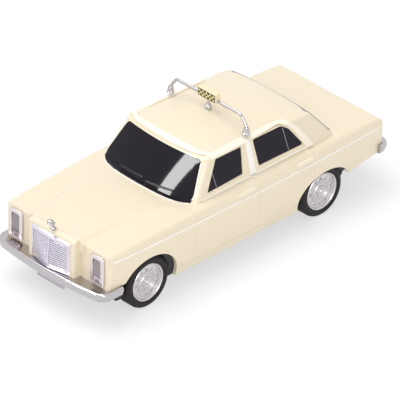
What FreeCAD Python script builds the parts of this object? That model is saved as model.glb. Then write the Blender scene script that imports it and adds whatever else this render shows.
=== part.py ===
import FreeCAD, Part
import math
import os

# Toy taxi: a die-cast saloon car with a roof sign, about 1:38 of a real four-door car.
# Millimetres. +X is forward, +Y is the car's left, +Z is up. The origin is on the ground, below the
# middle of the car's length and width.

V = FreeCAD.Vector
os.makedirs("parts", exist_ok=True)
SIDES = {"left": 1, "right": -1}

# Driving sizes: half length, half width, roof height and wheel size, with the places worked out from them
body_reach = 60.0
body_half_width = 23.1
roof_z = 39.5
tyre_radius = 8.37

# Wheels and axles
front_axle_x = body_reach * 0.6625
rear_axle_x = body_reach * -0.5442
tyre_width = 5.5
tyre_outer_y = body_half_width * 0.9242
tyre_shoulder = 0.9
rim_radius = tyre_radius * 0.735
rim_face_set_back = 0.35
rim_lip = 0.6
rim_seat_gap = 0.02
rim_dish_depth = 1.1
rim_ring_radius = tyre_radius * 0.5854
cap_radius = tyre_radius * 0.3704
cap_top_radius = tyre_radius * 0.2389
cap_rise = 0.75
wheel_end_play = 0.25
axle_radius = 1.0
axle_grip = 2.2
bearing_gap = 0.05

# Body casting
sill_z = tyre_radius * 0.7527
wall = 1.2
plan_bow = 1.35
bow_power = 2.4
shoulder_z = roof_z * 0.6456
shoulder_drop = 1.7
drop_power = 3.2
shoulder_round_share = 0.6
shoulder_lean = 1.1
deck_crown = 0.55
crease_z = roof_z * 0.5595
crease_rise = 1.0
crease_height = 0.5
crease_proud = 0.22
sill_tuck = 1.5
round_steps = 3
bow_steps = 6
ring_sides = 12
wheel_sides = 32
station_shares = (-1.0, -0.8, -0.45, 0.0, 0.45, 0.8, 1.0)
cavity_station_shares = (-1.0, -0.6, 0.0, 0.6, 1.0)

nose_x = body_reach * 0.9583
nose_low_z = roof_z * 0.3215
nose_corner_radius = 1.7
nose_lip_radius = 1.2
nose_edge_trim = 0.15
tail_x = body_reach * -0.9883
tail_low_z = roof_z * 0.3241
tail_corner_radius = 2.8
tail_lip_radius = 1.8
tail_top_step = 1.5
tail_bottom_step = 0.8
corner_turn = math.radians(68)
skirt_rear_z = roof_z * 0.2709

# Wheel arches
front_arch_half = tyre_radius * 1.3142
front_arch_height = tyre_radius * 1.147
rear_arch_half = tyre_radius * 1.3262
rear_arch_height = tyre_radius * 0.9438
arch_centre_z = tyre_radius * 0.9916
skirt_front_x = front_axle_x + front_arch_half * 0.732
skirt_rear_x = rear_axle_x - rear_arch_half * 0.8243

# Cabin: two plan outlines, one at the belt and one at the roof, joined by straight walls
belt_z = roof_z * 0.643
head_z = roof_z * 0.9342
screen_base_x = body_reach * 0.3833
screen_head_x = body_reach * 0.2267
screen_base_bow = 2.8
screen_head_bow = 1.2
cabin_base_y = body_half_width * 0.8528
cabin_head_y = body_half_width * 0.7316
back_base_x = body_reach * -0.6783
back_head_x = body_reach * -0.49
back_base_bow = 1.6
back_head_bow = 0.3
pillar_base_radius = 2.0
pillar_head_radius = 2.0
roof_peak_x = body_reach * -0.0833
roof_ball_radius = body_reach * 5 / 3
headroom_rim_z = roof_z * 0.8987
headroom_height_shares = (0.9519, 0.9646)
headroom_plan_shares = (0.6, 0.3)
cabin_sink = 2.0

# Window openings, as heights and places along the side
window_low_z = roof_z * 0.6886
window_top_z = roof_z * 0.9038
window_corner = 0.7
front_window_low_front_x = body_reach * 0.2367
front_window_top_front_x = body_reach * 0.1483
front_window_low_rear_x = body_reach * -0.0133
front_window_top_rear_x = body_reach * -0.0317
rear_window_low_front_x = body_reach * -0.12
rear_window_top_front_x = body_reach * -0.105
rear_window_low_rear_x = body_reach * -0.4367
rear_window_top_rear_x = body_reach * -0.3217
screen_low_margin = 1.0
screen_top_margin = 1.8
screen_low_z = roof_z * 0.6734
screen_top_z = roof_z * 0.919
screen_corner = 1.6
back_glass_top_z = roof_z * 0.8835

# Engraved lines and raised trim
shut_width = 0.35
shut_depth = 0.25
door_front_x = body_reach * 0.3667
door_middle_x = body_reach * -0.0717
door_rear_x = body_reach * -0.4567
door_corner = 1.5
hood_line_front_y = body_half_width * 0.5152
hood_line_rear_y = body_half_width * 0.7316
hood_line_rear_x = body_reach * 0.3917
rail_height = 0.6
rail_proud = 0.3
rail_drop = 0.5
frame_gap = 1.9
frame_width = 3.6
frame_head_width = 1.4
strip_low_front_x = body_reach * -0.0467
strip_low_rear_x = body_reach * -0.1133
strip_top_front_x = body_reach * -0.0383
strip_top_rear_x = body_reach * -0.0967
belt_trim_front_x = body_reach * 0.2667
belt_trim_low_z = roof_z * 0.6481
belt_trim_height = 0.55
sill_line_z = roof_z * 0.2253
sill_line_width = 0.5
sill_line_front_x = body_reach * 0.4733
sill_line_rear_x = body_reach * -0.3533
handle_length = 6.8
handle_height = 1.1
handle_proud = 0.6
front_handle_x = body_reach * 0.0167
rear_handle_x = body_reach * -0.39
handle_z = roof_z * 0.6

# Glazing
glass_gap = 0.1
glass_thickness = 0.9
pane_recess = 0.25
pane_gap = 0.08
glass_skirt_z = roof_z * 0.6405
glass_top_z = roof_z * 0.8937
glass_head_share = 1.0
wiper_width = 0.45
wiper_proud = 0.2
wiper_low_z = roof_z * 0.6987
wiper_rise = 2.2
wiper_inner_y = body_half_width * 0.0649
wiper_outer_y = body_half_width * 0.5195

# Grille and ornament
grille_side_depth = 0.45
grille_side_x = nose_x + grille_side_depth
grille_apex_depth = 3.2
grille_apex_x = nose_x + grille_apex_depth
grille_half_width = body_half_width * 0.329
grille_low_z = roof_z * 0.3266
grille_top_z = roof_z * 0.5899
grille_top_slope = 0.5
grille_seat_gap = 0.05
grille_frame = 0.75
grille_recess = 0.55
louvre_count = 10
louvre_height = 0.38
louvre_inset = 0.2
grille_rib = 0.7
grille_peg = 3.0
grille_peg_depth = 1.6
grille_peg_gap = 0.06
finial_set_back = 2.1
finial_x = grille_apex_x - finial_set_back
finial_stem_radius = 0.4
finial_base_radius = 0.75
finial_base_height = 0.7
finial_height = 4.6
finial_ball_radius = 0.75
finial_tip_radius = 0.15
finial_sink = 0.6
finial_gap = 0.03

# Headlamps
lamp_inner_y = body_half_width * 0.6277
lamp_width = body_half_width * 0.2294
lamp_low_z = roof_z * 0.3646
lamp_height = roof_z * 0.2253
lamp_corner = 0.9
bezel_rim = 0.65
bezel_tube_inset = 0.3
bezel_depth = 2.0
bezel_proud = 0.45
bezel_gap = 0.05
lens_depth = 1.3
lens_bulge = 0.35
lens_proud = 0.2
lens_gap = 0.05

# Tail lamps
tail_lamp_inner_y = body_half_width * 0.5022
tail_lamp_outer_y = body_half_width * 0.8571
tail_lamp_low_z = roof_z * 0.4203
tail_lamp_top_z = roof_z * 0.5165
tail_lamp_depth = 0.6
tail_lamp_proud = 0.3
tail_lamp_gap = 0.05

# Bumpers
bumper_reach_x = body_reach * 1.0283
bumper_bow = 1.1
bumper_half_width = body_half_width * 1.0043
bumper_corner = 3.4
front_bumper_end_x = body_reach * 0.855
rear_bumper_end_x = body_reach * 0.91
front_bumper_low_z = roof_z * 0.2076
rear_bumper_low_z = roof_z * 0.2532
bumper_height = 4.0
bumper_chamfer = 0.6
bumper_groove = 0.3
bumper_groove_height = 0.4
bumper_groove_share = 0.36
bumper_gap = 0.05
face_bar_half = body_half_width * 0.7879
face_bar_low = 1.9
face_bar_height = 1.6
face_bar_proud = 0.3
face_bar_round = 0.75
tab_y = body_half_width * 0.4329
tab_width = 3.0
tab_low = 1.0
tab_height = 1.6
tab_reach = 0.5
tab_gap = 0.08

# Number plate
plate_half_width = body_half_width * 0.2165
plate_height = 2.2
plate_thickness = 0.6
plate_x = body_reach * 0.9867
plate_tongue_half = body_half_width * 0.1299
plate_tongue_height = 0.9
plate_gap = 0.05

# Roof sign
bar_x = body_reach * -0.085
bar_z = roof_z * 1.1013
bar_radius = 0.5
bar_half = body_half_width * 0.6017
bar_bend = 1.4
bar_foot_y = body_half_width * 0.6753
foot_radius = 0.85
foot_height = 2.2
centre_foot_radius = 0.95
centre_foot_rise = 1.4
centre_stem_radius = 0.6
foot_seat_gap = 0.03
sign_width = 7.8
sign_height = 3.1
sign_depth = 1.9
sign_drop = 0.4
sign_bar_gap = 0.03
panel_margin = 0.3
panel_thickness = 0.3
panel_proud = 0.1
panel_gap = 0.03

# Base plate
base_z = tyre_radius * 0.7168
base_thickness = 1.6
base_gap = 0.15
tub_wall = 0.9
tub_top_z = roof_z * 0.3595
tail_ramp_x = rear_axle_x - tyre_radius * 0.9
tail_ramp_length = 2.2
tail_ramp_z = roof_z * 0.2785
tail_end_z = roof_z * 0.2962
well_gap = 1.0
well_wall = 0.8
well_side_gap = 0.3
well_inner_y = tyre_outer_y - tyre_width - well_side_gap
saddle_wall = 0.9
saddle_top = 1.2
keeper_half_length = 4.4
keeper_set_back = 1.2
keeper_half_y = well_inner_y - keeper_set_back
keeper_gap = 0.06
relief_depth = 0.5
relief_front_x = body_reach * 0.5583
relief_rear_x = body_reach * -0.4417
relief_half_y = body_half_width * 0.4978
pipe_radius = 1.0
pipe_y = body_half_width * 0.2814
sump_length = body_reach * 0.2833
sump_width = body_half_width * 0.3896
sump_x = body_reach * 0.3333

# Rivet posts
front_post_x = body_reach * 0.8717
rear_post_x = body_reach * -0.8333
post_radius = 1.5
post_gap = 0.05

cut_over = 3.0


def save(shape, node):
    shape.removeSplitter().exportStep("parts/" + node + ".step")


def box(x0, x1, y0, y1, z0, z1):
    return Part.makeBox(x1 - x0, y1 - y0, z1 - z0, V(x0, y0, z0))


def round_points(start, corner, end):
    """Points of a rounding between two straight lines that meet at corner."""
    points = []
    for step in range(round_steps + 1):
        t = step / round_steps
        points.append(start * (1 - t) ** 2 + corner * 2 * t * (1 - t) + end * t ** 2)
    return points


def bow_points(start, middle, end):
    """Points of a shallow bow from start to end, without start itself."""
    points = []
    for step in range(1, bow_steps + 1):
        t = step / bow_steps
        chord = start * (1 - t) + end * t
        points.append(chord + (middle - (start + end) * 0.5) * (4 * t * (1 - t)))
    return points


def facet_loft(outlines):
    """Solid through matching closed point lists, with flat faces only."""
    faces = [Part.Face(Part.makePolygon(points + points[:1])) for points in (outlines[0], outlines[-1])]
    count = len(outlines[0])
    for low, high in zip(outlines, outlines[1:]):
        for index in range(count):
            following = (index + 1) % count
            corners = [low[index], low[following], high[following], high[index]]
            for triangle in (corners[:3], corners[2:] + corners[:1]):
                faces.append(Part.Face(Part.makePolygon(triangle + triangle[:1])))
    return Part.Solid(Part.Shell(faces)).removeSplitter()


def ring(centre, radius, across, upward, sides):
    """Points round a circle whose plane holds the two unit vectors."""
    points = []
    for index in range(sides):
        angle = 2 * math.pi * (index + 0.5) / sides
        points.append(centre + across * (radius * math.cos(angle)) + upward * (radius * math.sin(angle)))
    return points


def upright_rod(radius, x, y, low_z, high_z):
    """Upright rod with flat facets."""
    return facet_loft([ring(V(x, y, z), radius, V(1, 0, 0), V(0, 1, 0), ring_sides) for z in (low_z, high_z)])


def rounded_face(corners, radius, place):
    """Face with rounded corners; place turns two numbers into a point."""
    points = []
    count = len(corners)
    for index, corner in enumerate(corners):
        before = V(*corners[index - 1], 0)
        here = V(*corner, 0)
        after = V(*corners[(index + 1) % count], 0)
        to_before = (before - here).normalize()
        to_after = (after - here).normalize()
        reach = radius / math.tan(to_before.getAngle(to_after) / 2)
        points += round_points(here + to_before * reach, here, here + to_after * reach)
    return flat_face([(point.x, point.y) for point in points], place)


def flat_face(corners, place):
    points = [place(*corner) for corner in corners]
    return Part.Face(Part.makePolygon(points + points[:1]))


def side_view(y):
    return lambda x, z: V(x, y, z)


def front_view(x):
    return lambda y, z: V(x, y, z)


def top_view(z):
    return lambda x, y: V(x, y, z)


def rod_along_y(radius, y0, y1, x, z):
    return Part.makeCylinder(radius, y1 - y0, V(x, y0, z), V(0, 1, 0))


def turned_about_y(profile, x, z):
    """Solid of revolution about a line along Y from (radius, y) points."""
    points = [V(x + radius, y, z) for radius, y in profile]
    face = Part.Face(Part.makePolygon(points + points[:1]))
    return face.revolve(V(x, 0, z), V(0, 1, 0), 360)


def mirror_y(shape):
    return shape.mirror(V(0, 0, 0), V(0, 1, 0))


def both_sides(shape):
    return [shape, mirror_y(shape)]


# Lower body
def half_width_at(x):
    return body_half_width - plan_bow * abs(x / body_reach) ** bow_power


def shoulder_at(x):
    return shoulder_z - shoulder_drop * abs(x / body_reach) ** drop_power


def crease_at(x):
    return crease_z + crease_rise * x / body_reach


def body_section(x, inset, floor_z):
    """Points of the outline across the car at x, moved in by inset; the side trim's rib is only outside."""
    width = half_width_at(x) - inset
    crease = crease_at(x)
    shoulder = shoulder_at(x) - inset
    knee = crease - inset
    turn = shoulder_round_share * (shoulder - knee - crease_height / 2)
    lean_y = width - shoulder_lean

    def flank(z):
        return width - sill_tuck * ((crease - z) / (crease - sill_z)) ** 2

    rib_low = knee - crease_height / 2
    rib_top = knee + crease_height / 2
    middle = (floor_z + rib_low) / 2
    slope = V(0, lean_y - flank(knee), shoulder - turn - rib_top).normalize()
    arc_low = V(x, lean_y - slope.y * turn, shoulder - slope.z * turn)
    arc_top = V(x, lean_y - turn, shoulder)
    left = [V(x, flank(z), z) for z in (floor_z, middle, rib_low)]
    if inset <= 0:
        rib = [(width + crease_proud, rib_low), (width + crease_proud, rib_top), (width, rib_top)]
        left += [V(x, y, z) for y, z in rib]
    left += round_points(arc_low, V(x, lean_y, shoulder), arc_top)
    right = [V(x, -point.y, point.z) for point in reversed(left)]
    crown = V(x, 0, shoulder + deck_crown)
    return left + bow_points(left[-1], crown, right[0])[:-1] + right


def cavity_section(x, inset, floor_z):
    """Points of the plainer outline of the hollow inside the casting at x."""
    width = half_width_at(x) - inset
    shoulder = shoulder_at(x) - inset
    knee = crease_at(x) - inset
    foot_y = width - sill_tuck * (knee - floor_z) / (knee - sill_z)
    left = [(foot_y, floor_z), (width, knee), (width - shoulder_lean, shoulder)]
    right = [(-y, z) for y, z in reversed(left)]
    return [V(x, y, z) for y, z in left + [(0, shoulder + deck_crown)] + right]


def soft_corner(outward, across, radius, reach):
    """Rounded corner in 2-D, from on the face to out past the body."""
    centre_out = outward - radius
    centre_across = across - nose_edge_trim - radius * math.sin(corner_turn)
    points = []
    for step in range(round_steps + 1):
        angle = corner_turn * step / round_steps
        points.append((centre_out + radius * math.cos(angle), centre_across + radius * math.sin(angle)))
    last = points[-1]
    return points + [(last[0] - (reach - last[1]) * math.tan(corner_turn), reach)]


def plan_trim(inset, low_z, high_z):
    """Upright prism that rounds the body's corners, seen from above."""
    reach = body_half_width + cut_over
    nose = soft_corner(nose_x - inset, half_width_at(nose_x) - inset, nose_corner_radius, reach)
    tail = soft_corner(-tail_x - inset, half_width_at(tail_x) - inset, tail_corner_radius, reach)
    left = nose + [(-x, y) for x, y in reversed(tail)]
    right = [(x, -y) for x, y in reversed(left)]
    return flat_face(left + right, top_view(low_z)).extrude(V(0, 0, high_z - low_z))


def side_trim(inset, floor_z, stepped):
    """Prism across the car that shapes the ends, and the lower edge where stepped is true."""
    half = body_half_width + cut_over
    reach = shoulder_z + deck_crown + cut_over
    nose_top = shoulder_at(nose_x) + deck_crown - inset
    tail_top = shoulder_at(tail_x) + deck_crown - inset
    nose = soft_corner(nose_x - inset, nose_top, nose_lip_radius, reach)
    tail = soft_corner(-tail_x - tail_top_step - inset, tail_top, tail_lip_radius, reach)
    waist = (tail_x + inset, (tail_lamp_low_z + tail_low_z) / 2)
    tail_foot_x = tail_x + tail_bottom_step + inset
    if stepped:
        lower = [
            (tail_foot_x, tail_low_z), (skirt_rear_x, skirt_rear_z), (skirt_rear_x, floor_z),
            (skirt_front_x, floor_z), (skirt_front_x, nose_low_z), (nose_x - inset, nose_low_z),
        ]
    else:
        lower = [(tail_foot_x, floor_z), (nose_x - inset, floor_z)]
    outline = nose + [(-x, z) for x, z in reversed(tail)] + [waist] + lower
    return flat_face(outline, side_view(-half)).extrude(V(0, 2 * half, 0))


def lower_body(inset, floor_z, stepped):
    sections = [body_section(share * body_reach, inset, floor_z) for share in station_shares]
    tube = facet_loft(sections)
    plan = plan_trim(inset, floor_z - cut_over, roof_z)
    return tube.common(plan).common(side_trim(inset, floor_z, stepped))


def lower_hollow(inset, floor_z):
    """Space inside the casting's lower body, inset from its outside."""
    sections = [cavity_section(share * body_reach, inset, floor_z) for share in cavity_station_shares]
    tube = facet_loft(sections)
    plan = plan_trim(inset, floor_z - cut_over, roof_z)
    return tube.common(plan).common(side_trim(inset, floor_z, False))


# Cabin
def blend(low, high, z):
    """Value on the straight line through low at the belt and high at the window heads."""
    return low + (high - low) * (z - belt_z) / (head_z - belt_z)


def lean_factor(run):
    """Sideways move that shifts a leaning wall by one, measured square to it."""
    return math.hypot(run, head_z - belt_z) / (head_z - belt_z)


def cabin_outline(z, inset, plain):
    front = blend(screen_base_x, screen_head_x, z) - inset * lean_factor(screen_base_x - screen_head_x)
    back = blend(back_base_x, back_head_x, z) + inset * lean_factor(back_head_x - back_base_x)
    side = blend(cabin_base_y, cabin_head_y, z) - inset * lean_factor(cabin_base_y - cabin_head_y)
    front_bow = blend(screen_base_bow, screen_head_bow, z)
    back_bow = blend(back_base_bow, back_head_bow, z)
    turn = blend(pillar_base_radius, pillar_head_radius, z)
    shoulder = side - turn

    def pillar(tip, bow, way):
        """Points round a pillar, from the bowed end to the side."""
        start = V(tip - way * bow, shoulder, z)
        slope = 2 * bow / shoulder
        knee = V(start.x - way * slope * turn, side, z)
        end = V(knee.x - way * turn, side, z)
        if plain:
            return [start, end]
        return round_points(start, knee, end)

    left = pillar(front, front_bow, 1) + pillar(back, back_bow, -1)[::-1]
    right = [V(point.x, -point.y, point.z) for point in reversed(left)]
    nose = V(front, 0, z)
    tail = V(back, 0, z)
    if plain:
        return [nose] + left + [tail] + right
    back_run = bow_points(left[-1], tail, right[0])[:-1]
    return left + back_run + right + bow_points(right[-1], nose, left[0])[:-1]


def cabin(inset):
    """Leaning walls under a roof that is part of a large ball."""
    levels = (belt_z - cabin_sink, roof_z + cut_over)
    walls = facet_loft([cabin_outline(z, inset, False) for z in levels])
    centre = V(roof_peak_x, 0, roof_z - roof_ball_radius)
    ball = Part.makeSphere(roof_ball_radius - inset, centre, V(0, 1, 0))
    return walls.common(ball)


def cabin_room(inset, levels):
    """Straight-sided room inside the cabin; each level above its rim has a height and a share of the plan."""
    outlines = [cabin_outline(z, inset, True) for z in (belt_z - cabin_sink, headroom_rim_z)]
    for height, share in levels:
        outlines.append([V(
            roof_peak_x + (point.x - roof_peak_x) * share, point.y * share, height) for point in outlines[1]])
    return facet_loft(outlines)


def headroom_levels():
    """Heights and plan shares of the hollow under the roof."""
    return [(roof_z * height, plan) for height, plan in zip(headroom_height_shares, headroom_plan_shares)]


# Openings
def side_windows():
    """Both openings of the left side, as corner lists seen from the side."""
    front = [
        (front_window_low_front_x, window_low_z), (front_window_top_front_x, window_top_z),
        (front_window_top_rear_x, window_top_z), (front_window_low_rear_x, window_low_z),
    ]
    rear = [
        (rear_window_low_front_x, window_low_z), (rear_window_top_front_x, window_top_z),
        (rear_window_top_rear_x, window_top_z), (rear_window_low_rear_x, window_low_z),
    ]
    return [front, rear]


def end_window(top_z):
    """Opening of the screen or the rear window, seen from the front."""
    low_y = blend(cabin_base_y, cabin_head_y, screen_low_z) - screen_low_margin
    top_y = blend(cabin_base_y, cabin_head_y, top_z) - screen_top_margin
    return [(low_y, screen_low_z), (top_y, top_z), (-top_y, top_z), (-low_y, screen_low_z)]


def shrink(corners, gap):
    """Corner list moved in by gap on every side."""
    centre = sum((V(*corner, 0) for corner in corners), V()) * (1 / len(corners))
    count = len(corners)
    moved = []
    for index, corner in enumerate(corners):
        here = V(*corner, 0)
        to_before = (V(*corners[index - 1], 0) - here).normalize()
        to_after = (V(*corners[(index + 1) % count], 0) - here).normalize()
        half_turn = to_before.getAngle(to_after) / 2
        point = here + (to_before + to_after).normalize() * (gap / math.sin(half_turn))
        if (centre - here).dot(to_before + to_after) < 0:
            point = here * 2 - point
        moved.append((point.x, point.y))
    return moved


def window_prisms(gap):
    """Prisms through every window, each made smaller by gap all round."""
    inner = blend(cabin_base_y, cabin_head_y, window_top_z) - cut_over
    prisms = []
    for corners in side_windows():
        face = rounded_face(shrink(corners, gap), window_corner, side_view(inner))
        prisms += both_sides(face.extrude(V(0, cut_over * 2 + cabin_base_y - inner, 0)))
    screen_inner = blend(screen_base_x, screen_head_x, screen_top_z) - cut_over - screen_head_bow
    back_inner = blend(back_base_x, back_head_x, screen_top_z) + cut_over + back_head_bow
    screen = rounded_face(shrink(end_window(screen_top_z), gap), screen_corner, front_view(screen_inner))
    back = rounded_face(shrink(end_window(back_glass_top_z), gap), screen_corner, front_view(back_inner))
    prisms.append(screen.extrude(V(screen_base_x + cut_over - screen_inner, 0, 0)))
    prisms.append(back.extrude(V(back_base_x - cut_over - back_inner, 0, 0)))
    return prisms


def arch_prism(axle_x, half, height):
    reach = body_half_width + cut_over
    oval = Part.Ellipse(V(axle_x, -reach, arch_centre_z), half, height)
    edge = oval.toShape()
    edge.rotate(V(axle_x, -reach, arch_centre_z), V(1, 0, 0), 90)
    return Part.Face(Part.Wire([edge])).extrude(V(0, 2 * reach, 0))


def line_strip(start, end, width, place, push):
    """Prism of a line's width along a straight run between two 2-D points."""
    a = V(*start, 0)
    b = V(*end, 0)
    along = (b - a).normalize()
    across = V(-along.y, along.x, 0) * (width / 2)
    corners = [a - across, b - across, b + across, a + across]
    return flat_face([(p.x, p.y) for p in corners], place).extrude(push)


def door_lines():
    """Shut lines of the left side's doors, as prisms pushed out through the flank."""
    inner = body_half_width - sill_tuck - plan_bow - shoulder_lean - cut_over
    push = V(0, body_half_width + cut_over - inner, 0)
    place = side_view(inner)
    top = shoulder_z
    corners = [
        (door_front_x, top), (door_front_x, sill_line_z + door_corner),
        (door_front_x - door_corner, sill_line_z),
    ]
    strips = [line_strip(start, end, shut_width, place, push) for start, end in zip(corners, corners[1:])]
    strips.append(line_strip((door_middle_x, top), (door_middle_x, sill_line_z), shut_width, place, push))
    arch_top = arch_centre_z + rear_arch_height
    strips.append(line_strip((door_rear_x, top), (door_rear_x, arch_top), shut_width, place, push))
    sill_line = [(sill_line_front_x, sill_line_z), (sill_line_rear_x, sill_line_z)]
    strips.append(line_strip(sill_line[0], sill_line[1], sill_line_width, place, push))
    return strips


def deck_lines():
    """Shut lines of the bonnet, down over the nose, as prisms pushed up through the deck."""
    low = nose_low_z
    push = V(0, 0, shoulder_z + deck_crown + cut_over - low)
    place = top_view(low)
    nose = nose_x + cut_over
    strips = []
    for side in SIDES.values():
        strips.append(line_strip(
            (hood_line_rear_x, side * hood_line_rear_y), (nose, side * hood_line_front_y), shut_width,
            place, push))
    return strips


def side_bands():
    """Raised bands of the left cabin side: drip rail with door frame, pillar strip and belt trim."""
    inner = cabin_head_y - cut_over
    push = V(0, cabin_base_y + cut_over - inner, 0)
    head = head_z - rail_drop
    start_x = blend(screen_base_x, screen_head_x, head) - screen_head_bow - pillar_head_radius
    back_top_x = rear_window_top_rear_x - rail_height
    foot_x = rear_window_low_rear_x - frame_gap
    rail = [
        (start_x, head), (start_x, head + rail_height), (back_top_x - frame_head_width, head + rail_height),
        (foot_x - frame_width, belt_z), (foot_x, belt_z), (back_top_x, head),
    ]
    strip = [
        (strip_low_front_x, belt_z), (strip_top_front_x, head + rail_height / 2),
        (strip_top_rear_x, head + rail_height / 2), (strip_low_rear_x, belt_z),
    ]
    belt_top = belt_trim_low_z + belt_trim_height
    belt_rear_x = foot_x - frame_width
    belt = [
        (belt_trim_front_x, belt_trim_low_z), (belt_trim_front_x, belt_top),
        (belt_rear_x, belt_top), (belt_rear_x, belt_trim_low_z),
    ]
    return [flat_face(corners, side_view(inner)).extrude(push) for corners in (rail, strip, belt)]


def nose_holes():
    """Prisms through the nose wall for the grille's peg and the headlamps' tubes."""
    peg_z = (grille_low_z + grille_top_z) / 2
    half = grille_peg / 2 + grille_peg_gap
    peg = box(nose_x - cut_over, nose_x + cut_over, -half, half, peg_z - half, peg_z + half)
    tube = lamp_box(bezel_tube_inset - bezel_gap, nose_x - cut_over, nose_x + cut_over)
    return [peg] + both_sides(tube)


def lamp_box(inset, x0, x1):
    """Plain block of the left headlamp's outline, moved in by inset."""
    high_y = lamp_inner_y + lamp_width - inset
    return box(x0, x1, lamp_inner_y + inset, high_y, lamp_low_z + inset, lamp_low_z + lamp_height - inset)


def lamp_face(inset, x):
    """Upright rounded outline of the left headlamp, moved in by inset."""
    low_y = lamp_inner_y + inset
    high_y = lamp_inner_y + lamp_width - inset
    low_z = lamp_low_z + inset
    high_z = lamp_low_z + lamp_height - inset
    corners = [(low_y, low_z), (high_y, low_z), (high_y, high_z), (low_y, high_z)]
    return rounded_face(corners, lamp_corner - inset / 2, front_view(x))


def tail_lamp_prism(gap):
    low_y = tail_lamp_inner_y + gap
    high_y = tail_lamp_outer_y - gap
    low_z = tail_lamp_low_z + gap
    high_z = tail_lamp_top_z - gap
    return box(tail_x - cut_over, tail_x + cut_over * 2, low_y, high_y, low_z, high_z)


def tail_clearance(lift):
    """Prism below the base plate's raised tail, lifted by the given height."""
    half = body_half_width + cut_over
    far = -bumper_reach_x
    low = base_z - cut_over
    outline = [
        (tail_ramp_x, low), (tail_ramp_x, base_z + lift),
        (tail_ramp_x - tail_ramp_length, tail_ramp_z + lift),
        (tail_x, tail_end_z + lift), (far, tail_end_z + lift), (far, low),
    ]
    return flat_face(outline, side_view(-half)).extrude(V(0, 2 * half, 0))


def build_posts(outer):
    """Two posts that hang from the deck and are riveted flush in the base plate."""
    posts = [upright_rod(post_radius, x, 0, base_z, shoulder_z) for x in (front_post_x, rear_post_x)]
    return Part.makeCompound(posts).common(outer).cut(tail_clearance(0))


def build_shell():
    """The casting: hollow, with openings cut, shut lines engraved, and trim, handles and posts added."""
    outer_low = lower_body(0, sill_z, True)
    outer = outer_low.fuse(cabin(0))
    cavity = lower_hollow(wall, sill_z - cut_over).fuse(cabin_room(wall, headroom_levels()))
    skin = outer_low.cut(lower_body(shut_depth, sill_z - cut_over, False))
    grooves = deck_lines()
    for strip in door_lines():
        grooves += both_sides(strip)
    shell = outer.cut(cavity).cut(skin.common(Part.makeCompound(grooves)))
    shell = shell.cut(Part.makeCompound(window_prisms(0)))
    shell = shell.cut(arch_prism(front_axle_x, front_arch_half, front_arch_height))
    shell = shell.cut(arch_prism(rear_axle_x, rear_arch_half, rear_arch_height))
    shell = shell.cut(Part.makeCompound(nose_holes()))
    lamp_layer = outer_low.cut(lower_body(tail_lamp_depth, sill_z - cut_over, False))
    shell = shell.cut(lamp_layer.common(Part.makeCompound(both_sides(tail_lamp_prism(0)))))
    rail_layer = cabin(-rail_proud).cut(outer)
    for band in side_bands():
        for side_band in both_sides(band):
            shell = shell.fuse(rail_layer.common(side_band))
    return shell.fuse([build_posts(lower_body(0, base_z, False))] + build_handles())


def build_handles():
    """Pull handles that stand on the flank above the side trim."""
    handles = []
    for x in (front_handle_x, rear_handle_x):
        root = half_width_at(x) - shoulder_lean - wall / 2
        tip = half_width_at(x) + handle_proud - shoulder_lean / 2
        low = handle_z - handle_height / 2 + crease_rise * x / body_reach
        high = low + handle_height
        start = x - handle_length / 2
        end = x + handle_length / 2
        corners = [(start, low), (end, low), (end, high), (start, high)]
        face = rounded_face(corners, handle_height / 3, side_view(root))
        handles += both_sides(face.extrude(V(0, tip - root, 0)))
    return handles


# Glazing
def wiper_strips():
    """Two wiper blades on the screen, seen from the front."""
    strips = []
    inner = screen_head_x
    for shift in (0, -wiper_outer_y):
        start = V(wiper_inner_y + shift, wiper_low_z, 0)
        end = V(wiper_outer_y + shift, wiper_low_z + wiper_rise, 0)
        across = V(start.y - end.y, end.x - start.x, 0).normalize() * (wiper_width / 2)
        corners = [start - across, end - across, end + across, start + across]
        face = flat_face([(point.x, point.y) for point in corners], front_view(inner))
        strips.append(face.extrude(V(screen_base_x + cut_over - inner, 0, 0)))
    return Part.makeCompound(strips)


def build_glazing():
    """Black moulding that sits inside the cabin, with a raised pane in every opening."""
    reach = cabin_base_y + cut_over
    length = -back_base_x + cut_over * 2
    outside = glass_gap + wall
    inside = outside + glass_thickness
    band = box(-length, length, -reach, reach, glass_skirt_z, glass_top_z)
    room = box(-length, length, -reach, reach, glass_skirt_z - cut_over, glass_top_z - glass_thickness)
    body = cabin_room(outside, [(roof_z, glass_head_share)])
    glazing = body.common(band).cut(cabin_room(inside, []).common(room))
    layer = cabin(pane_recess).cut(body)
    for prism in window_prisms(pane_gap):
        glazing = glazing.fuse(layer.common(prism))
    wiper_layer = cabin(pane_recess - wiper_proud).cut(cabin(pane_recess + wiper_proud))
    return glazing.fuse(wiper_layer.common(wiper_strips()))


# Grille, ornament and lamps
def grille_plan(set_back, z):
    """V-shaped outline of the grille seen from above, its front moved back by set_back."""
    back = nose_x + grille_seat_gap
    corners = [
        (back - set_back, -grille_half_width), (grille_side_x - set_back, -grille_half_width),
        (grille_apex_x - set_back, 0), (grille_side_x - set_back, grille_half_width),
        (back - set_back, grille_half_width),
    ]
    return flat_face(corners, top_view(z))


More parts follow.
